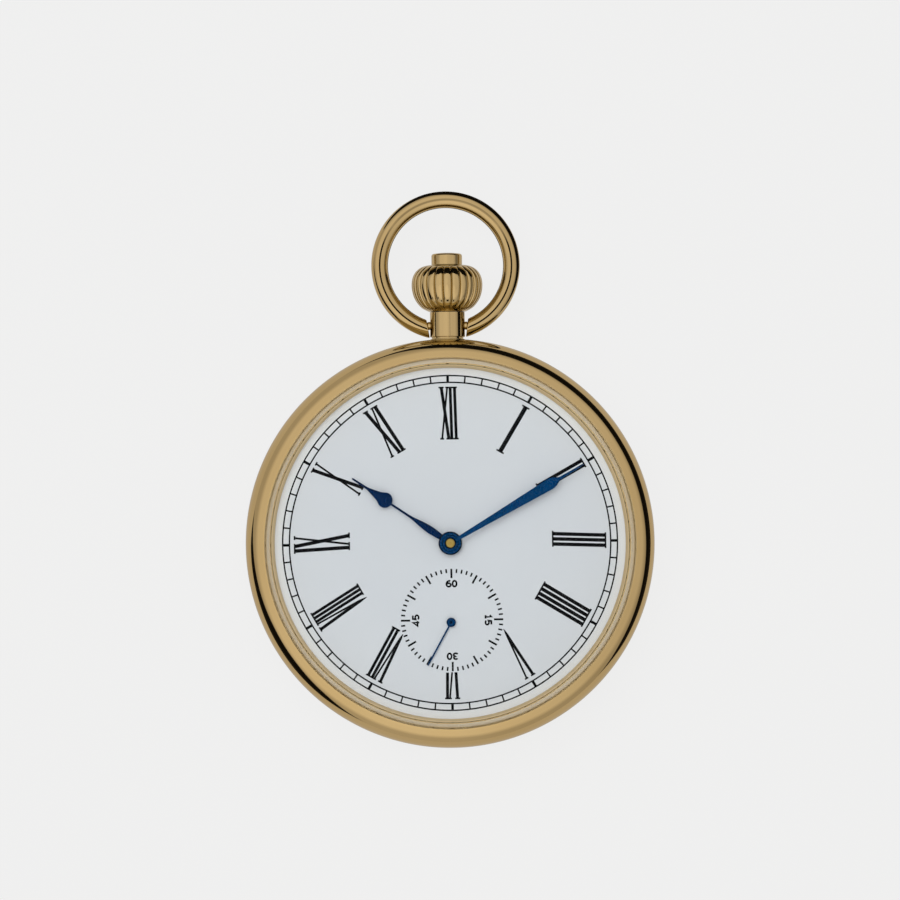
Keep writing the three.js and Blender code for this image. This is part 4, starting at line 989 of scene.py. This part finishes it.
def hour_hand():
    """Leaf, stem, round bulb and long point."""
    stations = [(1.15, 0.30)] + spline(HOUR_LEAF, 5)[:-1]
    for k in range(25):
        angle = math.radians(HOUR_BULB_FROM + k * (HOUR_BULB_TO - HOUR_BULB_FROM) / 24)
        stations.append((HOUR_BULB_AT + HOUR_BULB_R * math.sin(angle),
                         HOUR_BULB_R * math.cos(angle)))
    stations += spline(HOUR_POINT, 4)
    hand = blade("hour_hand_blued", stations, 9.1, 9.3, HOUR_DEG)
    boolean(hand, [hub(radius=1.43, bore=0.84, low=9.02, high=9.32)], "UNION")
    finish_piece(hand, "hour", "blued_steel", DEEP_BLUED_AND_PAINTED_SHADE, "hour_hand")
    tone(hand, BLUED, lambda r, z: r < 1.28 and z > 9.25)
    # painted shade: near black on the sunk edge round the bore and on the chamfered rim
    tone(hand, BLUED_PAINTED_SHADE, lambda r, z: (r < 1.00 or 1.27 < r < 1.45) and z > 9.2)


def minute_hand():
    stations = MINUTE_TAPER + spline(MINUTE_SHOULDER, 5) + spline(MINUTE_POINT, 3)
    hand = blade("minute_hand_blued", stations, 9.75, 9.95, MINUTE_DEG)
    boolean(hand, [hub(radius=0.95, bore=0.55, low=9.70, high=9.97)], "UNION")
    finish_piece(hand, "centre_arbor", "blued_steel", BLUED, "minute_hand")
    # painted shade: near black on the sunk edge round the bore and on the chamfered rim
    tone(hand, BLUED_PAINTED_SHADE, lambda r, z: (r < 0.71 or 0.885 < r < 0.955) and z > 9.84)


def seconds_hand():
    hand = blade("seconds_hand_blued", SECOND_BLADE, 8.72, 8.84, SECOND_DEG, SECONDS)
    cap = lathe("cap", rounded(SECOND_CAP, steps=4), 64, "Z", (*SECONDS, 0.0))
    boolean(hand, [cap], "UNION")
    finish_piece(hand, "fourth_arbor", "blued_steel", BLUED, "seconds_hand")
    # painted shade: the deeper blue on the cap's rounded shoulder
    tone(hand, DEEP_BLUED_AND_PAINTED_SHADE, lambda r, z: 0.43 < r < 0.58 and z > 8.7, SECONDS)
    # painted shade: near black in the sink at the cap's centre
    tone(hand, BLUED_PAINTED_SHADE, lambda r, z: r < 0.175 and z > 8.79, SECONDS)


def cannon_pinion():
    """Polished tube end over the hands, with its leaves below the dial."""
    outline = []
    for k in range(CANNON_LEAVES):
        for fraction, radius in CANNON_LEAF:
            angle = TAU * (k + fraction) / CANNON_LEAVES
            outline.append((radius * math.cos(angle), radius * math.sin(angle)))
    leaves = Solids()
    leaves.prism(outline, 7.05, 7.5)
    pinion = mesh_object("cannon_pinion_turned", leaves.verts, leaves.faces)
    boolean(pinion, [lathe("tube", rounded(CANNON_TUBE, steps=4), 64)], "UNION")
    bore = lathe("bore", [(0, 6.5), (0.35, 6.5), (0.35, 9.92), (0, 9.92)], 48)
    boolean(pinion, [bore], "DIFFERENCE")
    finish_piece(pinion, "centre_arbor", "brass", CAP, "cannon_pinion")


def dress_cad_nodes():
    """The CAD nodes that stay get worked edges and a finish each."""
    slots = {part["node"]: part["material_slot"] for part in frame["record"]["subparts"]}
    for name, node in frame["nodes"].items():
        if node.hide_render:
            continue
        node.data.materials.clear()
        node.data.materials.append(BY_SLOT[slots[name]])
        node.data.shade_smooth()
        weld = node.modifiers.new("weld", "WELD")
        weld.merge_threshold = 2e-6
        flat = node.modifiers.new("flat", "DECIMATE")
        flat.decimate_type = "DISSOLVE"
        flat.angle_limit = math.radians(0.6)
        bevel = node.modifiers.new("edges", "BEVEL")
        bevel.width = 0.02 * MM
        bevel.segments = 2
        bevel.limit_method = "ANGLE"
        bevel.angle_limit = math.radians(50)
        bevel.harden_normals = True
        bevel.use_clamp_overlap = True


# ---------- stage ----------
# Compass tables are (degrees from +X towards +Y, value).
# How far the dark horizon reaches up and down, as the sine of its elevation:
DARK_SCALE = 0.45
DARK_UP = [(0, 0.31), (30, 0.39), (60, 0.405), (84, 0.36), (94, 0.31), (104, 0.12), (114, 0.03),
           (122, 0.0), (168, 0.0), (180, 0.17), (196, 0.30), (205, 0.40), (218, 0.41),
           (230, 0.30), (240, 0.06), (244, 0.0), (318, 0.0), (330, 0.19), (345, 0.27),
           (360, 0.31)]
DARK_DOWN = [(0, 0.30), (30, 0.17), (60, 0.20), (84, 0.15), (100, 0.08), (112, 0.04), (122, 0.0),
             (168, 0.0), (180, 0.16), (205, 0.26), (218, 0.25), (230, 0.18), (240, 0.04),
             (244, 0.0), (318, 0.0), (330, 0.24), (345, 0.28), (360, 0.30)]
# brightness of the sky
SKY = [(0, 0.56), (60, 0.58), (90, 0.64), (130, 0.66), (180, 0.64), (225, 0.74), (270, 0.76),
       (310, 0.62), (340, 0.55), (360, 0.56)]
# How steeply a ray may fall and still meet the black card, for each mirroring piece:
RING_CARD = [(0, 0.66), (35, 0.78), (60, 0.93), (80, 1.0), (102, 1.0), (120, 0.72), (138, 0.32),
             (148, 0.0), (320, 0.0), (334, 0.28), (345, 0.50), (360, 0.66)]
CROWN_CARD = [(0, 0.0), (20, 0.0), (27, 0.40), (48, 0.46), (70, 0.50), (118, 0.50), (136, 0.30),
              (148, 0.16), (154, 0.0), (360, 0.0)]
NECK_CARD = [(0, 0.78), (38, 0.76), (46, 0.0), (314, 0.0), (322, 0.76), (360, 0.78)]
NECK_LEFT_CARD = [(0, 0.0), (140, 0.0), (150, 0.42), (210, 0.42), (220, 0.0), (360, 0.0)]
# how steeply a ray from the crown may rise and still meet it
CROWN_CARD_TOP = [(0, 0.0), (22, 0.05), (38, 0.30), (60, 0.55), (80, 0.68), (104, 0.68),
                  (124, 0.45), (148, 0.12), (154, 0.0), (360, 0.0)]
# where two patches of it (1) and the paler card (1) stand for the crown
CROWN_PATCHES = [(0, 0.0), (229, 0.0), (231, 1.0), (239, 1.0), (241, 0.0), (260, 0.0),
                 (262, 1.0), (281, 1.0), (283, 0.0), (360, 0.0)]
CROWN_PALE = [(0, 1.0), (40, 1.0), (46, 0.0), (314, 0.0), (320, 1.0), (360, 1.0)]
# Regions that tell the bow, crown and neck apart, by distance from the bow's centre
BOW_REACH, CROWN_REACH = 9.4, 6.6
NECK_HALF_WIDTH = 2.36
NECK_FROM_Y, NECK_TO_Y = 25.2, 28.38


class Ray:
    """Where a ray that lands here set out, as masks for the bow's ring, the crown and the
    neck, and which way it ran. fall is how steeply it came down."""

    def __init__(self, tree):
        geometry = tree.new("ShaderNodeNewGeometry")
        path = tree.new("ShaderNodeLightPath")
        incoming = geometry.outputs["Incoming"]
        back = tree.new("ShaderNodeVectorMath", operation="SCALE", Vector=incoming,
                        Scale=path.outputs["Ray Length"])
        start = tree.new("ShaderNodeVectorMath", operation="ADD")
        tree.set(start.inputs[0], geometry.outputs["Position"])
        tree.set(start.inputs[1], back)
        x, y, _ = tree.separate(start)
        back_x, back_y, self.fall = tree.separate(incoming)
        self.x = x / MM
        self.y = y / MM - BOW_Y
        self.dx = back_x * -1.0
        self.dy = back_y * -1.0
        self.reach = tree.length(self.x, self.y)
        self.near = (self.reach < BOW_REACH) * (self.y > NECK_FROM_Y - BOW_Y)
        self.neck = (self.near * (tree.math("ABSOLUTE", self.x) < NECK_HALF_WIDTH)
                     * (self.y < NECK_TO_Y - BOW_Y))
        self.ring = self.near * ((self.reach > CROWN_REACH) * (1.0 - self.neck))
        self.camera = tree.value(path, "Is Camera Ray")

    @cached_property
    def crown(self):
        return self.near * (self.reach < CROWN_REACH) * (1.0 - self.neck)

    @cached_property
    def outward(self):
        """1 where the ray runs away from the bow's centre."""
        return (self.x * self.dx + self.y * self.dy) > 0.0


def painted_dark_reflection(tree, ray):
    """1 where the black card stands in the mirror of the ring, crown or neck: a painted dark reflection, given
    only to rays from these pieces.
    """
    def limit(stops):
        return tree.by_azimuth(ray.dx, ray.dy, stops)

    def under(stops):
        return (ray.fall < limit(stops)) * (limit(stops) > 0.05)

    ring = under(RING_CARD) * (ray.fall > -0.20) * (ray.ring * ray.outward)
    crown = under(CROWN_CARD) * (ray.fall + limit(CROWN_CARD_TOP) > 0.0) * ray.crown
    patches = limit(CROWN_PATCHES) * ray.crown * ((ray.fall > -0.54) * (ray.fall < -0.38))
    crown = tree.math("MAXIMUM", crown, patches)
    neck = under(NECK_CARD) * (ray.fall > 0.24) * ray.neck
    neck_left = under(NECK_LEFT_CARD) * (ray.fall > 0.27) * 0.25 * ray.neck
    neck = tree.math("MAXIMUM", neck, neck_left)
    return tree.math("MAXIMUM", tree.math("MAXIMUM", ring, crown), neck)


def floor_material():
    """An even pale grey to the camera; in mirrors a lit floor with a dark horizon."""
    mirror_z, mirror_r = 9.5, 24.0  # height and radius of the edge the horizon is seen from
    soft_edge = 0.03
    tree = material_tree("stage_floor")
    geometry = tree.new("ShaderNodeNewGeometry")
    x, y, _ = tree.separate(geometry.outputs["Position"])
    x, y = x / MM, y / MM
    away = tree.math("MAXIMUM", tree.length(x, y) - mirror_r, 0.0)
    sine = mirror_z / tree.math("SQRT", away * away + mirror_z ** 2)
    width = tree.by_azimuth(x, y, DARK_DOWN, DARK_SCALE) - soft_edge
    lit = tree.math("DIVIDE", sine - width, soft_edge, clamp=True)

    # what the camera sees: a steady glow and a faint shadow
    grain = tree.noise(tree.coords(), scale=40.0, detail=4.0)
    seen = tree.new("ShaderNodeEmission", Strength=0.942,
                    Color=tree.mix(grain, (0.868, 0.868, 0.866), (0.874, 0.874, 0.872)))
    weak = tree.new("ShaderNodeBsdfDiffuse", Color=(0.052, 0.052, 0.052))
    shown = tree.new("ShaderNodeAddShader")
    tree.set(shown.inputs[0], seen)
    tree.set(shown.inputs[1], weak)

    # what everything else sees; inside is the steep view from the ring's inner side, where the floor is painted
    # darker, a painted shade in that reflection; the crown is given a brighter floor, a painted highlight
    ray = Ray(tree)
    inside = ray.ring * (1.0 - ray.outward) * (ray.fall > 0.76)
    glow = lit * 0.50 + 0.012
    glow = tree.math("MAXIMUM", glow, ray.crown * 0.20)
    glow = glow * (1.0 - inside * 0.88)
    glow = glow * (1.0 - painted_dark_reflection(tree, ray) * 0.985)
    bounce = tree.new("ShaderNodeEmission", Color=(1.0, 0.99, 0.97), Strength=glow)

    path = tree.new("ShaderNodeLightPath")
    pick = tree.mix_shader(path.outputs["Is Camera Ray"], bounce, shown)
    # clear from below and to rays that have come through something clear
    through = tree.value(path, "Transparent Depth") > 0.5
    hidden = tree.math("MAXIMUM", geometry.outputs["Backfacing"], through)
    clear = tree.new("ShaderNodeBsdfTransparent")
    return tree.finish(tree.mix_shader(hidden, pick, clear))


def card_material():
    """Clear except where the black card, or the crown's paler one, shows in a mirror; both are painted
    reflections, met only by rays from those pieces.
    """
    tree = material_tree("stage_card")
    ray = Ray(tree)
    grain = tree.noise(tree.coords(), scale=20.0, detail=2.0)
    painted_dark = painted_dark_reflection(tree, ray)
    # painted pale reflection: a paler card that only the crown sees
    pale = ray.crown * (tree.by_azimuth(ray.dx, ray.dy, CROWN_PALE) > 0.5)
    pale = pale * (ray.fall > -0.36)
    level = 0.006 + tree.math("SUBTRACT", pale, painted_dark, clamp=True) * 0.20
    card = tree.new("ShaderNodeEmission", Color=(1.0, 1.0, 1.0),
                    Strength=tree.remap(grain, (0.3, 0.7), to=(0.8, 1.1)) * level)
    cover = tree.math("MAXIMUM", painted_dark, pale) * (1.0 - ray.camera)
    clear = tree.new("ShaderNodeBsdfTransparent")
    return tree.finish(tree.mix_shader(cover, clear, card))


def lens_material():
    """The lens straight above, a painted dark reflection that only the ring and the neck mirror."""
    tree = material_tree("stage_lens")
    ray = Ray(tree)
    tilt = tree.length(ray.dx, ray.dy)
    # painted reflection of the lens: a crisp black line along the sides of the ring, a broad soft one at its top
    top = tree.math("MULTIPLY", tree.remap(ray.y, (2.5, 6.0)), 1.0, clamp=True)
    crisp = tree.remap(tilt, (0.185, 0.215), to=(1.0, 0.0)) * (1.0 - top)
    soft = tree.remap(tilt, (0.17, 0.36), to=(0.46, 0.0)) * top
    spot = tree.math("MAXIMUM", crisp, soft) * ray.ring
    # slit: a painted dark line down the neck
    off_line = tree.math("ABSOLUTE", ray.dx - 0.27)
    slit = tree.remap(off_line, (0.02, 0.05), to=(0.42, 0.0)) * ray.neck
    glint = tree.noise(tree.coords(), scale=30.0, detail=2.0)
    dark = tree.new("ShaderNodeEmission", Color=(0.02, 0.018, 0.015),
                    Strength=tree.remap(glint, (0.3, 0.7), to=(0.6, 1.0)))
    cover = tree.math("MAXIMUM", spot, slit) * (1.0 - ray.camera)
    clear = tree.new("ShaderNodeBsdfTransparent")
    return tree.finish(tree.mix_shader(cover, clear, dark))


def stage_piece(name, verts, faces, material):
    mesh = bpy.data.meshes.new(name)
    mesh.from_pydata([(x * MM, y * MM, z * MM) for x, y, z in verts], [], faces)
    ob = bpy.data.objects.new(name, mesh)
    bpy.context.scene.collection.objects.link(ob)
    mesh.materials.append(material)


def floor():
    half, z = 2000, -0.02
    corners = [(-half, -half, z), (half, -half, z), (half, half, z), (-half, half, z)]
    stage_piece("floor", corners, [(0, 1, 2, 3)], floor_material())


def black_card():
    """A round wall far out."""
    radius, height, sides = 400, 260.0, 64
    verts, faces = [], []
    for k in range(sides):
        angle = TAU * k / sides
        x, y = radius * math.cos(angle), radius * math.sin(angle)
        verts += [(x, y, 0.0), (x, y, height)]
        after = (2 * k + 2) % (2 * sides)
        faces.append([2 * k, after, after + 1, 2 * k + 1])
    stage_piece("black_card", verts, faces, card_material())


def lens_card():
    """A disc high above the bow."""
    radius, centre_y, z, sides = 500, 34, 1200, 48
    angles = [TAU * k / sides for k in range(sides)]
    verts = [(radius * math.cos(a), centre_y + radius * math.sin(a), z) for a in angles]
    stage_piece("lens_card", verts, [list(range(sides))], lens_material())


def studio_world():
    """A softly lit sky over a dark horizon of uneven width; plain grey to the camera."""
    world = bpy.data.worlds.new("studio")
    bpy.context.scene.world = world
    tree = ShaderTree(world, "ShaderNodeOutputWorld")
    dx, dy, dz = tree.separate(tree.new("ShaderNodeTexCoord").outputs["Generated"])
    width = tree.by_azimuth(dx, dy, DARK_UP, DARK_SCALE) - 0.03
    lit = tree.math("DIVIDE", tree.math("ABSOLUTE", dz) - width, 0.05, clamp=True)
    # brightness climbs from the horizon to mid height, then to a softbox round the zenith
    side = tree.by_azimuth(dx, dy, SKY)
    horizon = side * 0.62
    mid = tree.remap(dz, (0.36, 0.64))
    sky = horizon * (1.0 - mid) + side * mid
    sky = sky + tree.remap(dz, (0.86, 0.95)) * 0.03
    above = dz > 0.0
    below_level = 0.55
    base = sky * above + (1.0 - above) * below_level
    camera = tree.value(tree.new("ShaderNodeLightPath"), "Is Camera Ray")
    strength = (base * lit + 0.006) * (1.0 - camera) + camera * 0.868
    tree.finish(tree.new("ShaderNodeBackground", Color=(1.0, 0.995, 0.985), Strength=strength))


def softbox():
    lamp = bpy.data.lights.new("softbox", "AREA")
    lamp.shape = "DISK"
    lamp.size = 0.5
    lamp.energy = 1.6
    ob = bpy.data.objects.new("softbox", lamp)
    ob.location = (-0.12, 0.16, 0.62)
    ob.rotation_euler = (-Vector(ob.location)).to_track_quat("-Z", "Y").to_euler()
    ob.visible_glossy = False
    ob.visible_camera = False
    bpy.context.scene.collection.objects.link(ob)


def camera():
    """A long lens very slightly below and left of straight above, rolled a little."""
    distance_m = 0.90
    view_width_m = 0.110025  # width of the view at that distance
    extra_distance_m = 0.0016
    roll = math.radians(0.65)
    lean_left, lean_down = math.radians(0.6), math.radians(1.3)
    aim_up, aim_z = 11.45, 5.9

    data = bpy.data.cameras.new("camera")
    data.sensor_width = 36.0
    data.lens = distance_m * 36.0 / view_width_m
    data.clip_start = 0.01
    data.clip_end = 10.0
    ob = bpy.data.objects.new("camera", data)
    up = Vector((math.sin(roll), math.cos(roll), 0.0))
    right = Vector((math.cos(roll), -math.sin(roll), 0.0))
    aim = up * (aim_up * MM) + Vector((0.0, 0.0, aim_z * MM))
    back = Vector((-math.tan(lean_left), -math.tan(lean_down), 1.0)).normalized()
    right = (right - back * right.dot(back)).normalized()
    matrix = Matrix((right, back.cross(right), back)).transposed().to_4x4()
    matrix.translation = aim + back * (distance_m + extra_distance_m)
    ob.matrix_world = matrix
    bpy.context.scene.collection.objects.link(ob)
    bpy.context.scene.camera = ob


# ---------- build, in this order ----------
for build in (case_back, case_band, bezel, crystal, pendant_tube, bow, crown, dial,
              dial_printing, hour_hand, minute_hand, seconds_hand, cannon_pinion,
              dress_cad_nodes, floor, black_card, lens_card, studio_world, softbox, camera):
    build()

bpy.context.scene.view_settings.view_transform = "Standard"
bpy.context.scene.view_settings.look = "None"
